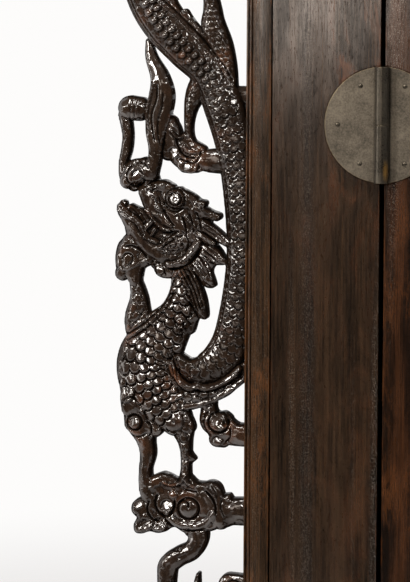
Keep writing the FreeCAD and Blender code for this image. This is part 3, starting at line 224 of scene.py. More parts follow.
# flat faces that lean back at their upper left: column, row, radius
leaningFaces = {
    "sidePearl": (222, 424, 9),
    "sideArc": (208, 416, 6),
    "sideLobe": (220, 443, 6),
    "footPad": (192, 167, 8),
    "footHeel": (175, 153, 6),
    "kneePearl": (136.5, 425.5, 6),
    "kneeFlame": (127, 397, 9),
    "nosePearl": (140, 177, 8),
    "eye": (177.5, 199, 6),
    "throat": (160, 270, 7),
    "lobeLeft": (147, 531, 8),
    "lobeRight": (163, 529, 8),
    "cloudSwirl": (170, 510, 7),
    "finHigh": (193, 308, 6),
    "finLow": (183, 324, 6.5),
}
facePitch = 0.25

# grooves, or ridges where the depth is below nought: half width, depth, points of column and row
strokes = {
    "waveShade": (1.0, 1.5, [(246, 372), (240, 379), (232, 385), (222, 389.5), (214, 392), (206, 393),
        (199, 391), (192, 393), (183, 388.5), (175, 377)]),
    "lipEdge": (1.4, -2.8, [(150, 213), (155, 219), (160, 225), (165, 228.5), (170, 230), (174, 229.5)]),
    "jawEdge": (1.2, -2.2, [(121, 214), (128, 218), (135, 222), (141, 228), (145, 236), (150, 241)]),
    "jawEdgeFar": (1.1, -2.2, [(130, 206.5), (137, 211), (142, 217), (145, 222)]),
    "muzzleEdge": (1.0, 1.4, [(160, 196), (162, 203), (166, 212), (171, 220), (177, 227)]),
    "eyeBag": (1.1, 1.5, [(166, 203), (170, 209), (177, 212), (184, 209), (188, 203)]),
    "cheekBack": (1.1, 1.6, [(184, 231), (189, 237), (191, 244), (188, 252)]),
    "templeDots": (1.9, -2.2, [(187, 216), (191, 221), (195, 226), (199, 230)]),
    "templeBand": (1.6, -2.0, [(202, 235), (207, 238), (213, 241)]),
    "flangeUnder": (1.5, 3.2, [(172, 270), (181, 269), (190, 265), (198, 257), (204, 247)]),
    "earTop": (1.1, -1.9, [(201, 207), (206, 210.5), (213, 213.5)]),
    "earSplit": (1.0, 1.8, [(198, 219), (205, 219), (213, 221)]),
    "hornGap": (1.1, 2.0, [(199, 230), (208, 234), (217, 240), (226, 246)]),
    "noseSpiral": (1.1, 1.7, [(141, 171), (146.5, 176), (144, 184), (136, 187.5), (129, 182),
        (128.5, 173), (135, 165.5), (144, 163.5), (151, 169)]),
    "sideNotch": (3.6, 4.4, [(233, 422.5), (229, 424), (225.5, 424.5)]),
    "pearlNotch": (1.3, 2.2, [(181, 508), (186, 504), (192, 506), (192, 512)]),
    "kneeLobeFold": (1.3, 2.0, [(148, 424), (153, 428), (154, 435), (150, 440)]),
    "beardFold": (1.3, 1.8, [(126, 248), (134, 247), (143, 252), (149, 260)]),
    "beardEye": (1.1, 1.6, [(122, 262), (127, 255), (133, 256), (134, 262), (129, 268)]),
    "beardEdge": (1.2, -1.2, [(119, 270), (127, 271), (138, 266), (149, 261)]),
    "bellyRimOuter": (1.1, 1.7, [(124, 339), (134, 333), (146, 325), (158, 314), (168, 303), (174, 290),
        (177, 278)]),
    "bellyRimInner": (1.0, 1.5, [(128, 343), (140, 336), (152, 327), (163, 316), (172, 304), (177, 291)]),
    "bellyRimRidge": (1.1, -1.0, [(126, 341), (137, 334), (149, 326), (160, 315), (170, 303),
        (176, 290)]),
    "armCrease": (1.2, 1.4, [(146, 309), (142, 318), (134, 328), (126, 338)]),
    "finFacetHigh": (1.0, 1.5, [(191, 301), (194, 309), (192, 319)]),
    "finFacetMiddle": (1.0, 1.4, [(186, 318), (186, 328), (180, 336)]),
    "kneeCrest": (1.2, 1.5, [(123, 408), (128, 401), (135, 400), (141, 406), (146, 414), (150, 424)]),
    "kneeSwirl": (1.2, 1.6, [(127, 417), (126, 428), (131, 437), (141, 440), (150, 436)]),
    "sideArc": (1.3, 1.8, [(212, 412), (207, 420), (208, 430), (214, 438)]),
    "sideArcOuter": (1.2, 1.6, [(234, 428), (234, 438), (228, 445)]),
    "clawA": (1.1, 1.5, [(166, 488), (174, 490), (182, 489)]),
    "clawB": (2.1, -2.6, [(166, 486), (174, 489), (184, 485), (188, 478)]),
    "clawC": (2.1, -2.6, [(188, 480), (192, 487), (200, 491)]),
    "clawD": (1.1, 1.5, [(186, 492), (194, 494), (202, 495)]),
    "cloudRim": (4.4, -2.6, [(168, 514), (173, 522), (182, 528), (193, 530), (204, 529), (213, 523),
        (218, 514)]),
    "cloudRimShade": (1.2, 2.2, [(164, 516), (171, 527), (182, 533), (195, 534), (207, 533)]),
    "cloudInner": (1.6, 2.6, [(160, 498), (158, 508), (163, 518), (171, 520), (177, 512), (178, 503)]),
    "cloudRight": (1.6, 2.6, [(208, 493), (214, 498), (219, 507), (220, 518)]),
    "cloudRightFold": (1.1, 1.4, [(226, 501), (225, 511), (229, 521)]),
    "lobeFold": (1.5, 2.2, [(152, 504), (150, 514), (155, 523), (162, 526)]),
    "cloudRightRidge": (1.6, -2.0, [(213, 488), (218, 494), (219.5, 502)]),
    "plumeEdge": (1.5, -1.8, [(155, 82), (151, 98), (148.5, 110), (148.5, 121), (151, 134)]),
    "plumeCutLeft": (1.1, 1.5, [(159, 84), (158, 100), (153.5, 114), (154, 128), (157, 142)]),
    "plumeCutRight": (1.1, 1.5, [(165, 92), (164, 106), (160, 120), (160, 136), (163, 148)]),
    "toeRidge": (1.6, -3.0, [(172, 130), (177, 136), (181, 138), (185.5, 134)]),
    "toeRidgeLow": (2.8, -2.6, [(183, 145), (189, 151), (198, 152)]),
    "toeGroove": (1.2, 2.2, [(177, 138), (181, 150), (188, 157), (198, 158)]),
    "padGroove": (1.2, 1.8, [(180, 158), (187, 161), (196, 163), (201, 157), (203, 150)]),
    "noseTop": (2.4, -1.8, [(134, 161), (140, 158), (147, 156.5), (152, 159)]),
    "stemFold": (1.2, 1.5, [(184, 556), (186, 547), (191, 539), (193, 531)]),
    "scrollFold": (1.2, 1.6, [(165, 560), (173, 556), (183, 555)]),
    "topFold": (1.3, 1.7, [(128, -168), (121, -152), (108, -146), (96, -152)]),
    "topFoldLong": (1.2, 1.5, [(98, -168), (70, -168), (44, -174)]),
    "dorsalLine": (1.1, -1.2, [(154, -2), (165, 7), (177, 18), (188, 29), (198, 39), (207, 49),
        (215, 58), (223, 68), (231, 82)]),
    "dorsalShade": (1.2, 1.6, [(157, -5), (168, 4), (180, 15), (191, 26), (201, 36), (210, 46),
        (218, 56), (226, 66), (234, 80)]),
}

# rows of such strokes: half width, depth, both ends of the first and of the last stroke, count
fans = {
    "noseSlashes": (1.1, 2.0, (149, 186), (156, 181), (153, 192), (160, 187), 4),
    "cheekRows": (1.1, 1.9, (160, 246), (182, 231), (164, 249), (186, 235), 2),
    "gills": (1.1, 1.9, (184, 216), (189, 236), (199, 212), (204, 230), 3),
    "longStrands": (1.25, -2.0, (180, 269), (199, 312), (191, 265), (208, 308), 4),
    "middleStrands": (1.5, -1.6, (191, 264), (206, 283), (204, 257), (217, 284), 5),
    "highStrands": (1.5, -1.6, (200, 254), (214, 265), (211, 245), (228, 261), 4),
    "hornStrands": (1.5, -1.6, (200, 226), (229, 246), (207, 222), (234, 243), 3),
    "loopFold": (0.9, 1.4, (176, 352), (184, 380), (170, 353), (178, 384), 3),
    "loopFan": (0.8, 1.2, (179, 370), (193, 387), (186, 371), (198, 385), 3),
    "wattle": (1.0, 1.4, (155, 263), (158, 274), (164, 265), (168, 277), 2),
    "fins": (1.0, 1.5, (186, 296), (201, 319), (178, 326), (187, 335), 3),
    "lobeRays": (0.9, 0.5, (172, 527), (166, 535), (158, 519), (142, 532), 6),
}

# round grooves and ridges: half width, depth, the ball in the middle, radius
rings = {
    "eyeRim": (1.4, -1.7, "eye", 8.1),
    "eyeGroove": (0.8, 0.6, "eye", 6.4),
    "eyeBack": (0.9, 0.9, "eye", 9.9),
    "eyeInner": (0.9, -0.9, "eye", 4.2),
    "kneeRing": (1.5, 2.2, "kneePearl", 7.8),
    "sideRing": (1.6, 2.4, "sidePearl", 10.2),
    "cloudRing": (1.3, 1.7, "cloudPearl", 10.8),
    "topRing": (1.6, 2.2, "topPearl", 10.4),
    "topRingSmall": (1.4, 2.0, "topPearlSmall", 8.2),
    "hungRing": (1.4, 2.0, "hungPearl", 8.2),
    "outerRing": (1.4, 2.0, "outerPearl", 8.2),
    "linkRing": (1.2, 1.8, "linkPearl", 7.2),
    "footRing": (1.2, 1.8, "footPearl", 7.2),
}


def smoothPath(points, gap=1.2):
    # a curve through all the points, with a point about every gap
    p = np.array(points, float)
    ends = np.vstack([2 * p[0] - p[1], p, 2 * p[-1] - p[-2]])
    out = []
    for i in range(1, len(ends) - 2):
        a, b, c, d = ends[i - 1:i + 3]
        count = max(2, int(np.hypot(*(c - b)[:2]) / gap))
        t = (np.arange(count) / count)[:, None]
        curve = 2 * b + (c - a) * t + (2 * a - 5 * b + 4 * c - d) * t ** 2
        out.append(0.5 * (curve + (3 * b - a - 3 * c + d) * t ** 3))
    out.append(p[-1:])
    return np.vstack(out)


def ramp(values, width=1.0):
    # from nought to one over a width
    return np.clip(values / width, 0, 1)


class Grid:
    batch = 20000    # cells measured at a time

    def __init__(self, left, right, top, bottom, cell):
        self.cell = cell
        self.cols = np.arange(left, right + cell, cell)
        self.rows = np.arange(top, bottom + cell, cell)
        self.shape = (len(self.rows), len(self.cols))

    def window(self, path, reach):
        spans = []
        for values, axis in ((self.rows, 1), (self.cols, 0)):
            low = np.searchsorted(values, (path[:, axis] - reach).min())
            high = np.searchsorted(values, (path[:, axis] + reach).max())
            spans.append(slice(low, high))
        return tuple(spans)

    def spots(self, where):
        return np.meshgrid(self.cols[where[1]], self.rows[where[0]])

    def disc(self, column, row, radius):
        # the cells around a round mark, and their places from its middle
        where = self.window(np.array([(column, row)]), radius + 1)
        x, y = self.spots(where)
        return where, x - column, y - row

    def near(self, path, where):
        # distance along the path and to its side, and its half width there if its points have one
        x, y = self.spots(where)
        flat = np.column_stack([x.ravel(), y.ravel()])
        a, b = path[:-1], path[1:]
        way = b[:, :2] - a[:, :2]
        run = np.r_[0, np.cumsum(np.hypot(*way.T))]
        size = np.maximum((way ** 2).sum(1), 1e-9)
        mids = (a[:, :2] + b[:, :2]) / 2
        found = []
        for first in range(0, len(flat), self.batch):
            part = flat[first:first + self.batch]
            best = ((part[:, None, :] - mids[None]) ** 2).sum(2).argmin(1)
            off = part - a[best, :2]
            share = np.clip((off * way[best]).sum(1) / size[best], 0, 1)
            turn = np.sign(way[best, 0] * off[:, 1] - way[best, 1] * off[:, 0])
            along = run[best] + share * np.sqrt(size[best])
            aside = np.hypot(*(off - way[best] * share[:, None]).T) * np.where(turn == 0, 1, turn)
            width = a[best, -1] + share * (b[best, -1] - a[best, -1])
            found.append((along, aside, width))
        return [np.concatenate(values).reshape(x.shape) for values in zip(*found)]

    def within(self, path, where):
        # distance to an outline, above nought inside it
        x, y = self.spots(where)
        aside = np.abs(self.near(path, where)[1])
        odd = np.zeros(x.shape, bool)
        for (ax, ay), (bx, by) in zip(path[:-1], path[1:]):
            if ay != by:
                odd ^= ((ay > y) != (by > y)) & (x < ax + (y - ay) * (bx - ax) / (by - ay))
        return np.where(odd, aside, -aside)


# gouge marks: size and height of two layers; flat knife cuts: size, share and the deepest that is made
toolMarks = {"gouges": ((9, 0.3), (4, 0.2)), "cutSize": 6, "cutSeed": 5, "cutShare": 0.75, "cutDeepest": 1.2}


def patches(grid, size, seed):
    # smooth random marks about nought, one per patch
    counts = tuple(int(n * grid.cell / size) + 3 for n in grid.shape)
    marks = np.random.default_rng(seed).uniform(-0.5, 0.5, counts)
    y, x = (grid.rows - grid.rows[0]) / size, (grid.cols - grid.cols[0]) / size
    r, c = y.astype(int), x.astype(int)
    fy, fx = [f * f * (3 - 2 * f) for f in ((y - r)[:, None], (x - c)[None])]
    near, far = [marks[np.ix_(k, c)] * (1 - fx) + marks[np.ix_(k, c + 1)] * fx for k in (r, r + 1)]
    return near * (1 - fy) + far * fy


def knifeCuts(grid, height):
    # each flat patch follows the slope at its own middle
    rng = np.random.default_rng(toolMarks["cutSeed"])
    span = toolMarks["cutSize"] / grid.cell
    r, c = np.mgrid[:grid.shape[0], :grid.shape[1]]
    patchRow, patchColumn = (r / span).astype(int) + 1, (c / span).astype(int) + 1
    size = (patchRow.max() + 2, patchColumn.max() + 2)
    midRow = (np.arange(size[0])[:, None] - 1 + rng.uniform(0, 1, size)) * span
    midColumn = (np.arange(size[1])[None] - 1 + rng.uniform(0, 1, size)) * span
    best = np.full(grid.shape, np.inf)
    seedRow, seedColumn = np.zeros(grid.shape), np.zeros(grid.shape)
    for down in (-1, 0, 1):
        for right in (-1, 0, 1):
            a = midRow[patchRow + down, patchColumn + right]
            b = midColumn[patchRow + down, patchColumn + right]
            far = (r - a) ** 2 + (c - b) ** 2
            seedRow, seedColumn = np.where(far < best, a, seedRow), np.where(far < best, b, seedColumn)
            best = np.minimum(best, far)
    i, j = [np.clip(np.round(v).astype(int), 0, n - 1) for v, n in zip((seedRow, seedColumn), grid.shape)]
    fall, lean = np.gradient(height)
    change = height[i, j] + fall[i, j] * (r - i) + lean[i, j] * (c - j) - height
    return np.where((np.abs(change) < toolMarks["cutDeepest"]) & (height > 0), change, 0)


def chance(row, column, salt):
    value = np.sin(row * 12.9898 + column * 78.233 + salt * 37.719) * 43758.5453
    return value - np.floor(value)


scaleLook = {"bow": 0.62, "chestBow": 0.42, "chestTilt": 0.2, "least": 0.7, "spread": 0.6, "lean": 1.1,
             "crown": 1.3, "sink": 0.55, "crack": 0.62, "crackWidth": 0.16, "cutSpread": 0.5,
             "cutWidth": 0.14}


def scaleCells(along, aside, pitch, wide, bow):
    # each row's round ends lie over the next row
    u = along / pitch
    k = np.floor(u)

    def local(row):
        b = aside / wide - 0.5 * np.mod(row, 2)
        return b - np.round(b), np.round(b)
    over, overColumn = local(k - 1)
    under, underColumn = local(k)
    end = 1 + bow * np.sqrt(np.clip(1 - (2 * over) ** 2, 0, 1))
    covers = u - k + 1 < end
    a = np.where(covers, u - k + 1, u - k)
    b = np.where(covers, over, under)
    gap = end - (u - k + 1)
    return a, b, gap, np.where(covers, k - 1, k), np.where(covers, overColumn, underColumn)


def scaleRelief(along, aside, pitch, wide, lift, bow, tilt=0.0):
    # flat scales that rise to their round ends, each a little different
    a, b, gap, row, column = scaleCells(along, aside, pitch, wide, bow)
    tall = scaleLook["least"] + scaleLook["spread"] * chance(row, column, 1)
    lean = scaleLook["lean"] * (chance(row, column, 2) - 0.5) - tilt
    rise = ramp(a, 1.5)
    hump = (0.5 * rise + 0.5 * np.sin(rise * np.pi / 2)) * (1 - scaleLook["crown"] * b * b) + lean * b
    crack = ramp(1 - np.abs(gap) / scaleLook["crackWidth"])
    return lift * (tall * hump - scaleLook["sink"] - scaleLook["crack"] * crack)


def crescentRelief(along, aside, pitch, wide, depth):
    # round cuts at the scales' ends, with a lip beside each
    _, _, gap, row, column = scaleCells(along, aside, pitch, wide, scaleLook["bow"])
    strong = scaleLook["least"] + scaleLook["cutSpread"] * chance(row, column, 3)
    lip = 0.5 * ramp(1 - np.abs(gap - 0.24) / scaleLook["cutWidth"])
    cut = ramp(1 - np.abs(gap - 0.04) / scaleLook["cutWidth"])
    return depth * (strong * (lip - cut) + 0.3 * np.clip(gap, -0.2, 0.4))


# how each kind of limb is cut, from the place along its middle and to its side, the latter also as a share
# of the half width, and that width

def plainCut(along, aside, across, width):
    return 0 * along


def grooveCut(along, aside, across, width, count, depth):
    return -depth * (1 - np.abs(np.sin(np.pi * count * (across + 1) / 2))) ** 2 * (np.abs(across) < 0.97)


def stripeCut(along, aside, across, width, depth):
    return -depth * (1 - np.abs(np.sin(np.pi * along / 4.2))) ** 2


def scaleCut(along, aside, across, width, pitch, wide, lift, way):
    relief = scaleRelief(along * way, aside, pitch, wide, lift, scaleLook["bow"])
    return relief * ramp(0.92 - np.abs(across), 0.2)


def ridgeCut(along, aside, across, width, place, fall, sink=0, until=0):
    return -fall * np.abs(across - place) * width / 8 - sink * np.clip(until - along, 0, None)


def chestCut(along, aside, across, width, pitch, wide, lift):
    # the scales fade out down the shin
    fade = ramp(0.9 - np.abs(across), 0.15) * ramp(width - 6, 8)
    return scaleRelief(along, aside, pitch, wide, lift, scaleLook["chestBow"], scaleLook["chestTilt"]) * fade


# the humps' line lies a little beside the body's middle; rims are a share of the half width and a depth
serpentLook = {"tailEnd": 370, "tailFade": 60, "humpLine": 1, "humpAside": 4.6, "humpReach": 9.2,
               "rims": ((0.77, 1.5), (0.89, 1.2)), "rimWidth": 1.1, "dull": 0.35, "dullFrom": 280,
               "dullFade": 50}


def serpentCut(along, aside, across, width, pitch, wide, depth):
    # a double rim on the belly side, two rows of humps down the tail, cut scales beside them
    relief = crescentRelief(along, aside, pitch, wide, depth)
    relief = relief * ramp(0.74 - across, 0.1) * ramp(across + 0.86, 0.15)
    tail = ramp(serpentLook["tailEnd"] - along, serpentLook["tailFade"])
    row = np.floor(along / pitch)
    off = aside - serpentLook["humpLine"]
    a, side = along / pitch - row - 0.5, (np.abs(off) - serpentLook["humpAside"]) / serpentLook["humpAside"]
    tall = 2.3 + 0.9 * chance(row, np.sign(off), 4)
    humps = np.clip(1 - (2.1 * a) ** 2 - side ** 2, 0, 1) ** 0.65 * (0.6 + 1.0 * (a + 0.5))
    humps = humps * (np.abs(off) < serpentLook["humpReach"])
    relief = relief * (1 - tail * (0.55 + 0.45 * (humps > 0))) + tail * tall * humps
    for mark, deep in serpentLook["rims"]:
        relief -= deep * ramp(1 - np.abs(across - mark) * width / serpentLook["rimWidth"])
    return relief


cutters = {"plain": plainCut, "grooves": grooveCut, "stripes": stripeCut, "scales": scaleCut,
           "ridge": ridgeCut, "chest": chestCut, "serpent": serpentCut}


def fanned():
    # the strokes of each fan, from its first to its last, a little bowed
    for half, deep, *ends, count in fans.values():
        first, firstEnd, last, lastEnd = np.array(ends)
        for share in np.linspace(0, 1, count):
            start, end = first + (last - first) * share, firstEnd + (lastEnd - firstEnd) * share
            yield half, deep, [start, (start + end) / 2 + (end - start)[::-1] * (0.04, -0.04), end]


def lay(fields, where, depth, top, extra, dull):
    # what stands highest shows
    base, cuts = fields["base"][where], fields["cuts"][where]
    higher = (depth > -1.2) & (top + extra > base + cuts)
    for name, value in (("base", top), ("cuts", extra), ("dull", dull)):
        fields[name][where] = np.where(higher, value, fields[name][where])
    fields["inside"][where] = np.maximum(fields["inside"][where], depth)


def carve():
    grid = Grid(0, drawing["legColumn"] + 6, drawing["topRow"] - 2, drawing["lastRow"] + 2, drawing["cell"])
    empty = {"base": -9.0, "cuts": 0.0, "inside": -9.0, "dull": 0.0}
    fields = {name: np.full(grid.shape, value) for name, value in empty.items()}
    for level, drop, points, *cut in limbs.values():
        path = smoothPath(points)
        where = grid.window(path, path[:, 2].max() + 2)
        along, aside, width = grid.near(path, where)
        across = aside / np.maximum(width, 0.1)
        dome = np.clip(1 - np.abs(across) ** 2.3, 0, 1) ** 0.6
        kind, *values = cut or ("plain",)
        extra = cutters[kind](along, aside, across, width, *values)
        # the trunk above the loop is less polished than the rest
        worn = ramp(along - serpentLook["dullFrom"], serpentLook["dullFade"])
        dull = serpentLook["dull"] * worn if kind == "serpent" else 0
        lay(fields, where, width - np.abs(aside), level - drop * (1 - dome), extra, dull)
    for level, drop, slope, points in plates.values():
        path = smoothPath(points + points[:1])
        where = grid.window(path, 3)
        depth = grid.within(path, where)
        lay(fields, where, depth, level - drop * ramp(1 - depth / slope) ** 2, 0, 0)
    height = fields["base"] + toolMarks["cutShare"] * knifeCuts(grid, fields["base"]) + fields["cuts"]
    for column, row, radius, rise in balls.values():
        where, x, y = grid.disc(column, row, radius)
        height[where] += rise * np.sqrt(ramp(1 - (x ** 2 + y ** 2) / radius ** 2))
    for column, row, radius in leaningFaces.values():
        where, x, y = grid.disc(column, row, radius)
        share = ramp(1 - (x ** 2 + y ** 2) / radius ** 2)
        height[where] += facePitch * (x + y) * ramp(3 * share)
    for half, deep, points in [*strokes.values(), *fanned()]:
        path = smoothPath(points)
        where = grid.window(path, half + 1)
        along, aside, _ = grid.near(path, where)
        # strokes start and end shallow
        fade = ramp(0.25 + np.minimum(along, along.max() - along) / 3)
        height[where] -= deep * fade * ramp(1 - (aside / half) ** 2)
    for half, deep, ball, radius in rings.values():
        where, x, y = grid.disc(*balls[ball][:2], radius + half)
        height[where] -= deep * ramp(1 - ((np.hypot(x, y) - radius) / half) ** 2)
    marks = sum(patches(grid, size, seed) * tall for seed, (size, tall) in enumerate(toolMarks["gouges"], 1))
    return grid, height + np.where(height > 0, marks, 0), fields["inside"], fields["dull"]


# shader expressions

class Signal:
    def __init__(self, tree, socket=None):
        self.tree = tree
        self.socket = socket

    def add(self, kind, settings=None, sockets=None, out=0):
        node = self.tree.nodes.new("ShaderNode" + kind)
        for name, value in (settings or {}).items():
            setattr(node, name, value)
        for name, value in (sockets or {}).items():
            if isinstance(value, Signal):
                self.tree.links.new(value.socket, node.inputs[name])
            else:
                node.inputs[name].default_value = value
        return Signal(self.tree, node.outputs[out] if node.outputs else None)

    def maths(self, operation, other=0.0, swapped=False):
        pair = (other, self) if swapped else (self, other)
        return self.add("Math", {"operation": operation}, {0: pair[0], 1: pair[1]})

    def __add__(self, other):
        return self.maths("ADD", other)

    __radd__ = __add__

    def __sub__(self, other):
        return self.maths("SUBTRACT", other)

    def __rsub__(self, other):
        return self.maths("SUBTRACT", other, True)

    def __mul__(self, other):
        return self.maths("MULTIPLY", other)

    __rmul__ = __mul__


def step(signal, low, high):
    return signal.add("MapRange", {"interpolation_type": "SMOOTHSTEP"},
                      {"Value": signal, "From Min": low, "From Max": high})


def mixed(start, share, one, two):
    return start.add("Mix", {"data_type": "RGBA", "blend_type": "MIX"}, {0: share, 6: one, 7: two}, out=2)


def stretched(point, by):
    return point.add("VectorMath", {"operation": "MULTIPLY"}, {0: point, 1: by})


def shifted(point, by):
    return point.add("VectorMath", {"operation": "ADD"}, {0: point, 1: by})


def lengthOf(point):
    return point.add("VectorMath", {"operation": "LENGTH"}, {0: point}, out="Value")


def part(point, axis):
    return point.add("SeparateXYZ", None, {0: point}, out=axis)


def noise(point, scale, detail=3, rough=0.55, twist=0.0):
    return point.add("TexNoise", None, {"Vector": point, "Scale": scale, "Detail": detail,
                                        "Roughness": rough, "Distortion": twist})


def rgb(red, green, blue):
    # screen values from 0 to 255 to the renderer's own
    shares = [v / 255 for v in (red, green, blue)]
    return tuple(((v + 0.055) / 1.055) ** 2.4 if v > 10 / 255 else v / 12.92 for v in shares) + (1,)


def darker(colour, share):
    return tuple(share * v for v in colour[:3]) + (1,)


def newMaterial(name):
    material = bpy.data.materials.new(name)
    material.use_nodes = True
    material.node_tree.nodes.clear()
    return material, Signal(material.node_tree)


def surface(start, constants, sockets):
    shader = start.add("BsdfPrincipled", None, {**constants, **sockets})
    start.add("OutputMaterial", None, {"Surface": shader})


def softened(start, radius):
    return start.add("Bevel", {"samples": 6}, {"Radius": radius})


def bumped(start, strength, distance, height, radius=None):
    sockets = {"Strength": strength, "Distance": distance, "Height": height}
    if radius:
        sockets["Normal"] = softened(start, radius)
    return start.add("Bump", None, sockets)


def edgeMask(start, radius):
    face = start.add("NewGeometry", out="Normal")
    near = softened(start, radius)
    facing = start.add("VectorMath", {"operation": "DOT_PRODUCT"}, {0: face, 1: near}, out="Value")
    return step(1 - facing, 0.01, 0.16)


# how closed in a point is, by occlusion; its darkness is used as painted shade
def crevices(start, distance):
    return 1 - start.add("AmbientOcclusion", {"samples": 8}, {"Distance": distance}, out="AO")


def placed(name, data):
    item = bpy.data.objects.new(name, data)
    bpy.context.scene.collection.objects.link(item)
    return item


# waxed wood

wax = {"Specular IOR Level": 0.04, "Coat IOR": 1.8}
grains = {"upright": 2, "level": 0, "deep": 1}
bandsAcross = {"upright": "X", "level": "Z", "deep": "Z"}
waxedWood = {
    "board": {"deep": rgb(12, 7, 4), "pale": rgb(51, 36, 23), "warm": rgb(80, 46, 25), "red": 0.35,
              "figure": 0.1, "rough": 0.42, "gloss": 1.0, "shift": 0.0, "poreLine": 0.4555,
              "warmBand": (0.39, 0.446)},
    "leg": {"deep": rgb(12, 8, 5), "pale": rgb(58, 40, 24), "warm": rgb(108, 65, 32), "red": 0.75,
            "figure": 0.1, "rough": 0.42, "gloss": 0.85, "waxAndGlintSpeck": 0.2, "shift": 3.1},
    "door": {"deep": rgb(11, 5, 2), "pale": rgb(55, 31, 15), "warm": rgb(94, 54, 24), "red": 0.5,
             "figure": 0.4, "rough": 0.42, "gloss": 0.85, "shift": 7.7},
    "top": {"deep": rgb(24, 15, 10), "pale": rgb(56, 38, 26), "warm": rgb(88, 54, 32), "red": 0.4,
            "figure": 0.4, "rough": 0.5, "gloss": 0.3, "coatRough": 0.5, "shift": 11.3},
    "case": {"deep": rgb(15, 9, 5), "pale": rgb(60, 40, 25), "warm": rgb(92, 54, 29), "red": 0.45,
             "figure": 0.2, "rough": 0.45, "gloss": 0.12, "coatRough": 0.35, "shift": 14.1},
    "inside": {"deep": rgb(96, 72, 50), "pale": rgb(142, 112, 82), "warm": rgb(160, 126, 92), "red": 0.4,
               "figure": 0.4, "rough": 0.65, "gloss": 0.0, "shift": 17.9},
}
# how far it is drawn out along the grain, then the noise's scale, detail, roughness and twist
woodNoise = {"sway": (0.3, 7, 2), "strand": (0.11, 1500, 3, 0.6), "fibre": (0.06, 600, 4, 0.65),
             "hair": (0.012, 900, 2, 0.5), "band": (0.04, 60, 3, 0.5), "mottle": (0.35, 34, 4, 0.65, 0.6),
             "stripe": (0.02, 38, 2), "wear": (0.3, 90, 3, 0.7)}
figureWave = {"Scale": 15, "Distortion": 9, "Detail": 3, "Detail Scale": 1.2, "Detail Roughness": 0.6}
woodMarks = {"pore": rgb(34, 35, 36), "waxAndGlintSpeck": rgb(140, 134, 126), "dirtAndShade": (0.0006, 0.0004, 0.0003, 1),
             "sway": 0.012, "poreOffset": 0.006, "poreReach": 0.011, "sheenFrom": 0.6, "sheenTo": 0.74}


def drawn(point, axis, by):
    # stretched out along the grain
    factors = [1, 1, 1]
    factors[axis] = by
    return stretched(point, factors)


def makeWood(kind, grain):
    look = waxedWood[kind]
    axis = grains[grain]
    material, start = newMaterial(kind + "Wood" + grain.capitalize())
    offset = (look["shift"], look["shift"] * 0.7, look["shift"] * 0.4)
    place = shifted(start.add("TexCoord", out="Object"), offset)

    def grainNoise(name, point):
        by, *rest = woodNoise[name]
        return noise(drawn(point, axis, by), *rest)
    sway = grainNoise("sway", place)
    swing = sway.add("CombineXYZ", None, {0: sway, 1: sway, 2: sway})
    swayed = shifted(place, stretched(swing, [woodMarks["sway"]] * 3))
    strand, fibre, hair, band = [grainNoise(name, swayed) for name in ("strand", "fibre", "hair", "band")]
    mottle = grainNoise("mottle", place)
    ring = start.add("TexWave", {"wave_type": "BANDS", "bands_direction": bandsAcross[grain]},
                     {"Vector": drawn(swayed, axis, 0.16), **figureWave}, out="Fac")
    figure = (ring - 0.5) * 0.3 * look["figure"]
    tone = step(band * 0.25 + mottle * 0.15 + fibre * 0.3 + hair * 0.3 + figure, 0.36, 0.64)
    colour = mixed(start, tone, look["deep"], look["pale"])
    warmth = step(mottle * 0.5 + strand * 0.5, 0.5, 0.68) * look["red"]
    stripe = step(grainNoise("stripe", place), 0.5, 0.62)
    if "poreLine" in look:
        # a line of open pores, tinted blue-grey as a painted cool reflection, and a warm band beside the
        # doors
        spot = shifted(swayed, [-v for v in offset])
        aside = part(spot, "X").maths("ABSOLUTE")
        # painted warm sheen: the band grows warmer towards the top, where the glare lies
        high = step(part(spot, "Z"), woodMarks["sheenFrom"], woodMarks["sheenTo"])
        near, far = look["warmBand"]
        inner = step(far - aside + (mottle - 0.5) * 0.03, 0, 0.02) * step(aside, near, near + 0.01)
        warmth = warmth + inner * step(mottle, 0.45, 0.6) * (0.1 + high * 0.6)
        reach = woodMarks["poreReach"]
        line = step(reach - (aside - look["poreLine"] - woodMarks["poreOffset"]).maths("ABSOLUTE"), 0, reach)
        stripe = stripe.maths("MAXIMUM", line * 0.45)
        # the blue-grey of the pore line is a painted cool reflection
        colour = mixed(start, line * 0.14, colour, woodMarks["pore"])
    colour = mixed(start, warmth, colour, look["warm"])
    stroke = step(strand, 0.53, 0.68)
    colour = mixed(start, stroke * 0.6, colour, darker(look["deep"], 0.3))
    # pale specks: wax in the pores and painted glints, thicker on the stripes
    waxAndGlintSpeck = step(noise(place, 1500, 1), 0.61, 0.7) * stripe
    colour = mixed(start, waxAndGlintSpeck * look.get("waxAndGlintSpeck", 0.7), colour, woodMarks["waxAndGlintSpeck"])
    # painted shade: darker and less glossy in crevices and joints, by occlusion, along with dirt
    dirtAndShade = crevices(start, 0.005)
    colour = mixed(start, step(dirtAndShade, 0.15, 0.65), colour, woodMarks["dirtAndShade"])
    wear = edgeMask(start, 0.0028) * step(grainNoise("wear", place), 0.45, 0.65)
    colour = mixed(start, wear * 0.55, colour, look["warm"])
    polish = 0.4 + step(fibre * 0.4 + mottle * 0.3 + band * 0.3, 0.38, 0.62) * 0.7
    coat = look["gloss"] * (1 - stroke * 0.75) * polish - step(dirtAndShade, 0.1, 0.5)
    height = fibre * 0.4 - stroke * 0.5 + mottle * 0.6
    surface(start, {**wax, "Coat Roughness": look.get("coatRough", 0.19)},
            {"Base Color": colour, "Roughness": look["rough"] + (mottle - 0.5) * 0.2,
             "Normal": bumped(start, 0.4, 0.0005, height, 0.0010),
             "Coat Weight": coat.maths("MAXIMUM", 0.0)})
    return material


# tarnished brass

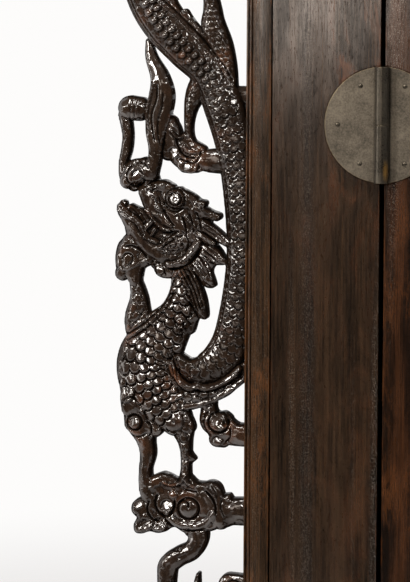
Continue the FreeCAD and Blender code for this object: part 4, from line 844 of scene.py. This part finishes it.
nailMetal = {"Base Color": rgb(78, 73, 64), "Metallic": 1.0, "Roughness": 0.3}
brassLook = {"dull": rgb(119, 111, 98), "dark": rgb(70, 66, 59), "bright": rgb(183, 160, 116),
             "gold": rgb(150, 113, 54), "barrelShade": rgb(46, 42, 36), "dirtAndShade": rgb(20, 17, 12), "rough": 0.42,
             "proudFrom": 0.2122, "proudTo": 0.2140, "rubbedSpot": (-0.3977, -0.22, 0.677),
             "rubbedSize": (0.0032, 0.02, 0.0115)}


def makeBrass(name):
    material, start = newMaterial(name)
    place = start.add("TexCoord", out="Object")
    cloud = noise(place, 60, 5, 0.7, 0.3)
    grit = noise(place, 700, 4, 0.7)
    colour = mixed(start, step(cloud * 0.5 + grit * 0.5, 0.32, 0.68), brassLook["dark"], brassLook["dull"])
    colour = mixed(start, edgeMask(start, 0.0012) * 0.3, colour, brassLook["bright"])
    # painted shade: the metal that stands proud is darker than the plates
    proud = step(0 - part(place, "Y"), brassLook["proudFrom"], brassLook["proudTo"])
    colour = mixed(start, proud * 0.65, colour, brassLook["barrelShade"])
    # one knuckle is rubbed bright
    rubbed = shifted(place, [-v for v in brassLook["rubbedSpot"]])
    away = lengthOf(stretched(rubbed, [1 / v for v in brassLook["rubbedSize"]]))
    colour = mixed(start, step(1.0 - away + (grit - 0.5), 0, 0.8) * 0.7, colour, brassLook["gold"])
    rough = brassLook["rough"] + (cloud - 0.5) * 0.3 + (grit - 0.5) * 0.3 - proud * 0.1
    # painted shade: darker in crevices, by occlusion, along with dirt
    colour = mixed(start, step(crevices(start, 0.004), 0.1, 0.5) * 0.8, colour, brassLook["dirtAndShade"])
    normal = bumped(start, 0.3, 0.0004, cloud * 0.5 + grit * 0.4, 0.0006)
    surface(start, {"Metallic": 0.8}, {"Base Color": colour, "Roughness": rough, "Normal": normal})
    return material


def makeNailMetal():
    material, start = newMaterial("nailMetal")
    surface(start, nailMetal, {})
    return material


# carved and polished wood of the spandrels

# deep is the colour of the painted shade in the hollows
carvedLook = {"deep": rgb(7, 4, 2), "body": rgb(40, 28, 19), "rubbed": rgb(111, 65, 35), "coatRough": 0.16,
              "spotShift": (3.3, 0.0, 1.7)}


def makeCarved():
    material, start = newMaterial("carvedWood")
    place = start.add("TexCoord", out="Object")
    hollowShadeAndDull = start.add("Attribute", {"attribute_name": "hollowShadeAndDull"}, out="Fac")
    crest = start.add("Attribute", {"attribute_name": "crest"}, out="Fac")
    grain = noise(stretched(place, (1, 1, 0.1)), 420, 4, 0.6)
    patch = noise(place, 34, 4, 0.6)
    spot = noise(shifted(place, carvedLook["spotShift"]), 24, 4, 0.6)
    tone = step(patch * 0.6 + grain * 0.4, 0.35, 0.65)
    colour = mixed(start, tone, darker(carvedLook["body"], 0.45), carvedLook["body"])
    colour = mixed(start, (0.08 + crest * 0.35) * step(spot, 0.52, 0.68), colour, carvedLook["rubbed"])
    # painted shade darkens the hollows, walls and back, and the trunk's dull part
    colour = mixed(start, hollowShadeAndDull, colour, carvedLook["deep"])
    coat = (1 - hollowShadeAndDull * 1.3) * (0.4 + step(patch, 0.35, 0.6) * 0.6)
    normal = bumped(start, 0.3, 0.0005, grain * 0.4 + noise(place, 150, 3) * 0.5)
    surface(start, {**wax, "Coat Roughness": carvedLook["coatRough"]},
            {"Base Color": colour, "Roughness": 0.5 + hollowShadeAndDull * 0.3, "Normal": normal,
             "Coat Weight": coat.maths("MAXIMUM", 0.0)})
    return material


# spandrel meshes from the drawn relief

# reach of the means in cells, what counts as hollow or crest in millimetres, and the painted shade given to
# the walls and to the back
spandrelLook = {"wideReach": 4, "nearReach": 2, "wideHollow": 3.4, "wideMost": 0.7, "nearHollow": 0.8,
                "crest": 1.6, "rimShade": 0.7, "backShade": 0.3, "sharpAngle": 64}


def spread(field, reach):
    # mean of a field over a square of cells
    padded = np.pad(field, reach, mode="edge")
    total = np.pad(padded.cumsum(0).cumsum(1), ((1, 0), (1, 0)))
    size = 2 * reach + 1
    rows, cols = field.shape
    return (total[size:size + rows, size:size + cols] - total[:rows, size:size + cols]
            - total[size:size + rows, :cols] + total[:rows, :cols]) / size ** 2


def spandrelData():
    grid, height, inside, dull = carve()
    solid = inside > 0
    filled = np.where(solid, height, 0)

    def localMean(reach):
        return spread(filled, reach) / np.maximum(spread(solid.astype(float), reach), 1e-6)
    mean, near = localMean(spandrelLook["wideReach"]), localMean(spandrelLook["nearReach"])
    # painted shade: cells lower than those around them are darker and less glossy, as shade falls in
    # hollows, with dirt; the trunk's dullness joins the same mask
    low = np.clip((mean - height) / spandrelLook["wideHollow"], 0, spandrelLook["wideMost"])
    hollowShadeAndDull = np.clip(np.maximum(low, (near - height) / spandrelLook["nearHollow"]), 0, 1)
    hollowShadeAndDull = np.maximum(hollowShadeAndDull, dull)
    crest = ramp(height - mean, spandrelLook["crest"])
    rows, cols = grid.shape
    count = solid.sum()
    number = np.full(grid.shape, -1)
    number[solid] = np.arange(count)
    r, c = np.nonzero(solid)
    points = np.column_stack([grid.cols[c], grid.rows[r], height[r, c], hollowShadeAndDull[r, c], crest[r, c]])

    def crossings(down, right):
        # where the outline crosses the grid's lines
        a, b = solid[:rows - down, :cols - right], solid[down:, right:]
        ar, ac = np.nonzero(a != b)
        br, bc = ar + down, ac + right
        share = np.clip(inside[ar, ac] / (inside[ar, ac] - inside[br, bc]), 0.05, 0.95)
        first = solid[ar, ac]
        here = np.where(first, height[ar, ac], height[br, bc])
        other = np.where(first, height[br, bc], height[ar, ac])
        level = np.where(other > 0, here + (other - here) * np.where(first, share, 1 - share), here)
        column, row = grid.cols[ac] + share * right * grid.cell, grid.rows[ar] + share * down * grid.cell
        # the outline's wall points get painted shade
        rimShade = np.full(len(ar), spandrelLook["rimShade"])
        spots = np.column_stack([column, row, level, rimShade, np.zeros(len(ar))])
        ids = np.full(grid.shape, -1)
        ids[ar, ac] = np.arange(len(ar))
        return spots, ids
    across, acrossIds = crossings(0, 1)
    downward, downwardIds = crossings(1, 0)
    acrossIds[acrossIds >= 0] += count
    downwardIds[downwardIds >= 0] += count + len(across)
    points = np.vstack([points, across, downward])
    corners = np.stack([number[:-1, :-1], number[:-1, 1:], number[1:, 1:], number[1:, :-1]])
    full = (corners >= 0).all(0)
    some = (corners >= 0).any(0) & ~full
    polygons = corners[:, full].T.tolist()
    rim = []
    for row, col in zip(*np.nonzero(some)):
        circuit = (number[row, col], acrossIds[row, col], number[row, col + 1], downwardIds[row, col + 1],
                   number[row + 1, col + 1], acrossIds[row + 1, col],
                   number[row + 1, col], downwardIds[row, col])
        loop = [v for v in circuit if v >= 0]
        rim += [pair for pair in zip(loop, loop[1:] + loop[:1]) if min(pair) >= count]
        if len(loop) > 2:
            polygons.append(loop)
    return points, polygons, rim, grid, inside


def makeSpandrel(name, side, data, material):
    points, polygons, rim, grid, inside = data
    mm = drawing["gridMm"]
    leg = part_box("front_left_leg")[0][0]
    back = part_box(name)[1][1]
    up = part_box(name)[1][2]
    out = leg + (points[:, 0] - drawing["legColumn"] - drawing["lean"]) * mm / 1000
    tall = up - (points[:, 1] - drawing["topRow"]) * mm / 1000
    front = np.column_stack([out, back - points[:, 2] / 1000, tall])
    verts = front.tolist()
    ring = {v: len(verts) + i for i, v in enumerate(sorted({v for pair in rim for v in pair}))}
    verts += [[front[v][0], back, front[v][2]] for v in ring]
    if side > 0:
        verts = [[-x, y, z] for x, y, z in verts]

    def solidAt(spot):
        column = drawing["legColumn"] + drawing["lean"] + (-abs(spot.x) - leg) * 1000 / mm
        row = drawing["topRow"] + (up - spot.z) * 1000 / mm
        i, j = (row - grid.rows[0]) / grid.cell, (column - grid.cols[0]) / grid.cell
        return inside[round(i), round(j)] > 0
    work = bmesh.new()
    spots = [work.verts.new(v) for v in verts]
    for loop in polygons + [[b, a, ring[a], ring[b]] for a, b in rim]:
        work.faces.new([spots[v] for v in loop]).smooth = True
    # the plain back between the rims
    edges = [work.edges.get((spots[ring[a]], spots[ring[b]])) for a, b in rim]
    filled = bmesh.ops.triangle_fill(work, use_beauty=True, edges=edges, normal=(0, 1, 0))["geom"]
    filled = [item for item in filled if isinstance(item, bmesh.types.BMFace)]
    spare = [face for face in filled if not solidAt(face.calc_center_median())]
    bmesh.ops.delete(work, geom=spare, context="FACES_ONLY")
    bmesh.ops.recalc_face_normals(work, faces=work.faces)
    mesh = bpy.data.meshes.new(name + "Carving")
    work.to_mesh(mesh)
    work.free()
    mesh.set_sharp_from_angle(angle=math.radians(spandrelLook["sharpAngle"]))
    # painted shade on the walls and on the back
    layers = {"hollowShadeAndDull": (points[:, 3], spandrelLook["backShade"]), "crest": (points[:, 4], 0.0)}
    for label, (values, plain) in layers.items():
        layer = mesh.attributes.new(label, "FLOAT", "POINT")
        layer.data.foreach_set("value", [*values, *[plain] * len(ring)])
    piece = placed(name + "_carving", mesh)
    mesh.materials.append(material)
    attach(piece, "case")
    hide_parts(name)
    return piece


carved = makeCarved()
data = spandrelData()
for name, side in (("left_dragon_spandrel", -1), ("right_dragon_spandrel", 1)):
    piece = makeSpandrel(name, side, data, carved)
    print(name, len(piece.data.vertices), "points", len(piece.data.polygons), "faces")


# domed nails of the hinges and lock plates

nailLook = {"radius": 0.0022, "crown": 0.0016, "rings": 5, "sides": 20, "apart": 0.006}


def nailSpots(node):
    mesh = nodes[node].data
    co = np.zeros(len(mesh.vertices) * 3)
    mesh.vertices.foreach_get("co", co)
    # points close together belong to one nail
    nails = {}
    for x, y, z in co.reshape(-1, 3):
        spot = next((k for k in nails if (k[0] - x) ** 2 + (k[1] - z) ** 2 < nailLook["apart"] ** 2), None)
        nails.setdefault(spot or (x, z), []).append((x, y, z))
    groups = [np.array(group) for group in nails.values()]
    return [(*((group.min(0) + group.max(0)) / 2)[[0, 2]], group[:, 1].min()) for group in groups]


def makeNails(node, body, material):
    verts, polygons = [], []
    rings, sides = nailLook["rings"], nailLook["sides"]
    for x, z, front in nailSpots(node):
        base = len(verts)
        foot = front + nailLook["crown"]
        verts.append((x, front, z))
        for i in range(1, rings + 1):
            lean = math.pi / 2 * i / rings
            radius = nailLook["radius"] * math.sin(lean)
            for j in range(sides):
                turn = 2 * math.pi * j / sides
                verts.append((x + radius * math.cos(turn), foot - nailLook["crown"] * math.cos(lean),
                              z + radius * math.sin(turn)))
        for j in range(sides):
            after = (j + 1) % sides
            polygons.append((base, base + 1 + j, base + 1 + after))
            for i in range(rings - 1):
                a = base + 1 + i * sides
                polygons.append((a + j, a + sides + j, a + sides + after, a + after))
    mesh = bpy.data.meshes.new(node + "Domes")
    mesh.from_pydata(verts, [], polygons)
    mesh.polygons.foreach_set("use_smooth", [True] * len(mesh.polygons))
    piece = placed(node + "_domes", mesh)
    mesh.materials.append(material)
    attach(piece, body)
    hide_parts(node)
    return len(verts)


brass = makeBrass("agedBrass")
nailMaterial = makeNailMetal()
nailed = {"case_hinge_nails": "case", "left_door_nails": "left_door", "right_door_nails": "right_door"}
for node, body in nailed.items():
    print(node, makeNails(node, body, nailMaterial), "points")


# finishes of the pieces that keep their CAD shape

def sided(*names):
    return [f"{side}_{name}" for name in names for side in ("left", "right")]


def dress(names, material):
    for name in names:
        nodes[name].data.materials.clear()
        nodes[name].data.materials.append(material)


finishes = {
    ("board", "upright"): [*sided("front_stile"), "drawer_divider"],
    ("case", "upright"): [*sided("side_panel"), "back_panels", "back_left_leg", "back_right_leg"],
    ("leg", "upright"): ["front_left_leg", "front_right_leg"],
    ("board", "level"): ["front_bottom_rail", "front_middle_rail", "front_top_rail", "aprons"],
    ("case", "level"): ["back_rails"],
    ("case", "deep"): sided("side_rails"),
    ("top", "level"): ["top_back_rail", "top_front_rail", "top_panel"],
    ("top", "deep"): ["top_left_flange", "top_right_flange", "top_battens"],
    ("door", "upright"): sided("door_panel", "door_stiles"),
    ("door", "level"): sided("door_rails", "drawer_front", "door_battens"),
    ("inside", "level"): ["bottom_board", "shelf", *sided("drawer_bottom")],
    ("inside", "deep"): ["shelf_battens", "drawer_runners", *sided("drawer_walls")],
}
for (kind, grain), names in finishes.items():
    dress(names, makeWood(kind, grain))
dress(["case_hinge_leaves", "hinge_pins", *sided("door_hinge_leaves", "lock_plate", "lock_fittings")], brass)
dress(sided("door_pull", "drawer_pull", "drawer_fittings"), brass)
print("finishes set")


# floor, light and camera

floorLook = {"half": 120, "near": rgb(226, 225, 226), "clear": 1.2, "white": 2.7, "flag": rgb(44, 42, 40),
             "backdrop": rgb(253, 252, 251), "behind": (-1.6, 0.8), "flagReach": (0.5, 1.6)}
worldLook = {"front": rgb(36, 34, 32), "white": (1, 1, 1, 1), "behind": (-0.35, 0.5)}


def whiteRays(start, behind):
    # the camera sees white, and so do mirrors and glass where they look to the back
    rays = [start.add("LightPath", out=f"Is {kind} Ray") for kind in ("Camera", "Glossy", "Transmission")]
    camera, glossy, clear = rays
    return camera, (camera + (glossy + clear) * behind).maths("MINIMUM", 1.0)


def makeFloor():
    half = floorLook["half"]
    mesh = bpy.data.meshes.new("floor")
    corners = [(-half, -half, 0), (half, -half, 0), (half, half, 0), (-half, half, 0)]
    mesh.from_pydata(corners, [], [(0, 1, 2, 3)])
    floor = placed("floor", mesh)
    material, start = newMaterial("paleFloor")
    place = start.add("TexCoord", out="Object")
    depth = part(place, "Y")
    camera, seen = whiteRays(start, step(depth, *floorLook["behind"]))
    # a dark flag lies in front, out of the camera's sight
    flag = step(0 - depth, *floorLook["flagReach"]) * (1 - camera)
    pale = mixed(start, flag, floorLook["near"], floorLook["flag"])
    matt = start.add("BsdfDiffuse", None, {"Color": pale})
    white = start.add("Emission", None, {"Color": floorLook["backdrop"], "Strength": 1.0})
    share = step(lengthOf(place), floorLook["clear"], floorLook["white"]) * seen
    blend = start.add("MixShader", None, {0: share, 1: matt, 2: white})
    start.add("OutputMaterial", None, {"Surface": blend})
    mesh.materials.append(material)


def makeWorld():
    world = bpy.data.worlds.new("studio")
    bpy.context.scene.world = world
    world.use_nodes = True
    world.node_tree.nodes.clear()
    start = Signal(world.node_tree)
    behind = step(part(start.add("TexCoord", out="Generated"), "Y"), *worldLook["behind"])
    _, seen = whiteRays(start, behind)
    room = mixed(start, behind, worldLook["front"], worldLook["white"])
    colour = mixed(start, seen, room, worldLook["white"])
    back = start.add("Background", None, {"Color": colour, "Strength": 1.0})
    start.add("OutputWorld", None, {"Surface": back})


# place, target, size, power and colour
lights = {
    "frontPanel": ((-0.66, -1.4, 0.875), (-0.66, -0.21, 0.875), (0.3, 0.24), 1.3, (1, 0.87, 0.76)),
    "carvingLamp": ((-1.68, -1.68, 1.5), (-0.6, -0.2, 0.55), (0.5, 0.5), 47, (1, 0.94, 0.88)),
    "leftStrip": ((-2.2, -0.9, 0.8), (-0.6, -0.2, 0.6), (0.25, 1.2), 8, (1, 0.95, 0.9)),
    "overhead": ((-0.5, -0.95, 2.3), (-0.6, -0.2, 0.6), (0.6, 0.3), 18, (1, 0.95, 0.9)),
    "rightLamp": ((0.9, -1.9, 1.9), (-0.6, -0.2, 0.55), (0.3, 0.3), 26, (1, 0.95, 0.9)),
    "rightFill": ((2.6, -1.6, 1.9), (0, 0, 0.6), (1.2, 1.2), 8, (1, 0.97, 0.94)),
    "backFill": ((0.4, 2.6, 2.0), (0, 0, 0.6), (2.0, 1.6), 30, (1, 0.97, 0.94)),
}


def areaLight(name, spot, target, size, power, colour):
    lamp = bpy.data.lights.new(name, "AREA")
    lamp.shape = "RECTANGLE"
    lamp.size, lamp.size_y = size
    lamp.energy = power
    lamp.color = colour
    light = placed(name, lamp)
    light.location = spot
    light.rotation_euler = (Vector(target) - Vector(spot)).to_track_quat("-Z", "Y").to_euler()
    light.visible_camera = False


makeFloor()
makeWorld()
for name, settings in lights.items():
    areaLight(name, *settings)

cameraLook = {"aim": (-0.5553, -0.2105, 0.5703), "azimuth": 8.0, "elevation": 5.0, "distance": 3.5,
              "lens": 249.0, "roll": 0.31, "sensor": 36, "clipEnd": 500}


def makeCamera():
    turn, rise, roll = [math.radians(cameraLook[name]) for name in ("azimuth", "elevation", "roll")]
    away = Vector((math.sin(turn) * math.cos(rise), -math.cos(turn) * math.cos(rise), math.sin(rise)))
    lens = bpy.data.cameras.new("camera")
    lens.sensor_fit = "VERTICAL"
    lens.sensor_height = cameraLook["sensor"]
    lens.lens = cameraLook["lens"]
    lens.clip_end = cameraLook["clipEnd"]
    camera = placed("camera", lens)
    spot = Vector(cameraLook["aim"]) + away * cameraLook["distance"]
    look = (-away).to_track_quat("-Z", "Y").to_matrix().to_4x4()
    camera.matrix_world = Matrix.Translation(spot) @ look @ Matrix.Rotation(roll, 4, "Z")
    bpy.context.scene.camera = camera


makeCamera()
bpy.context.scene.view_settings.view_transform = "Standard"
print("stage, lights and camera set")

bpy.context.view_layer.update()
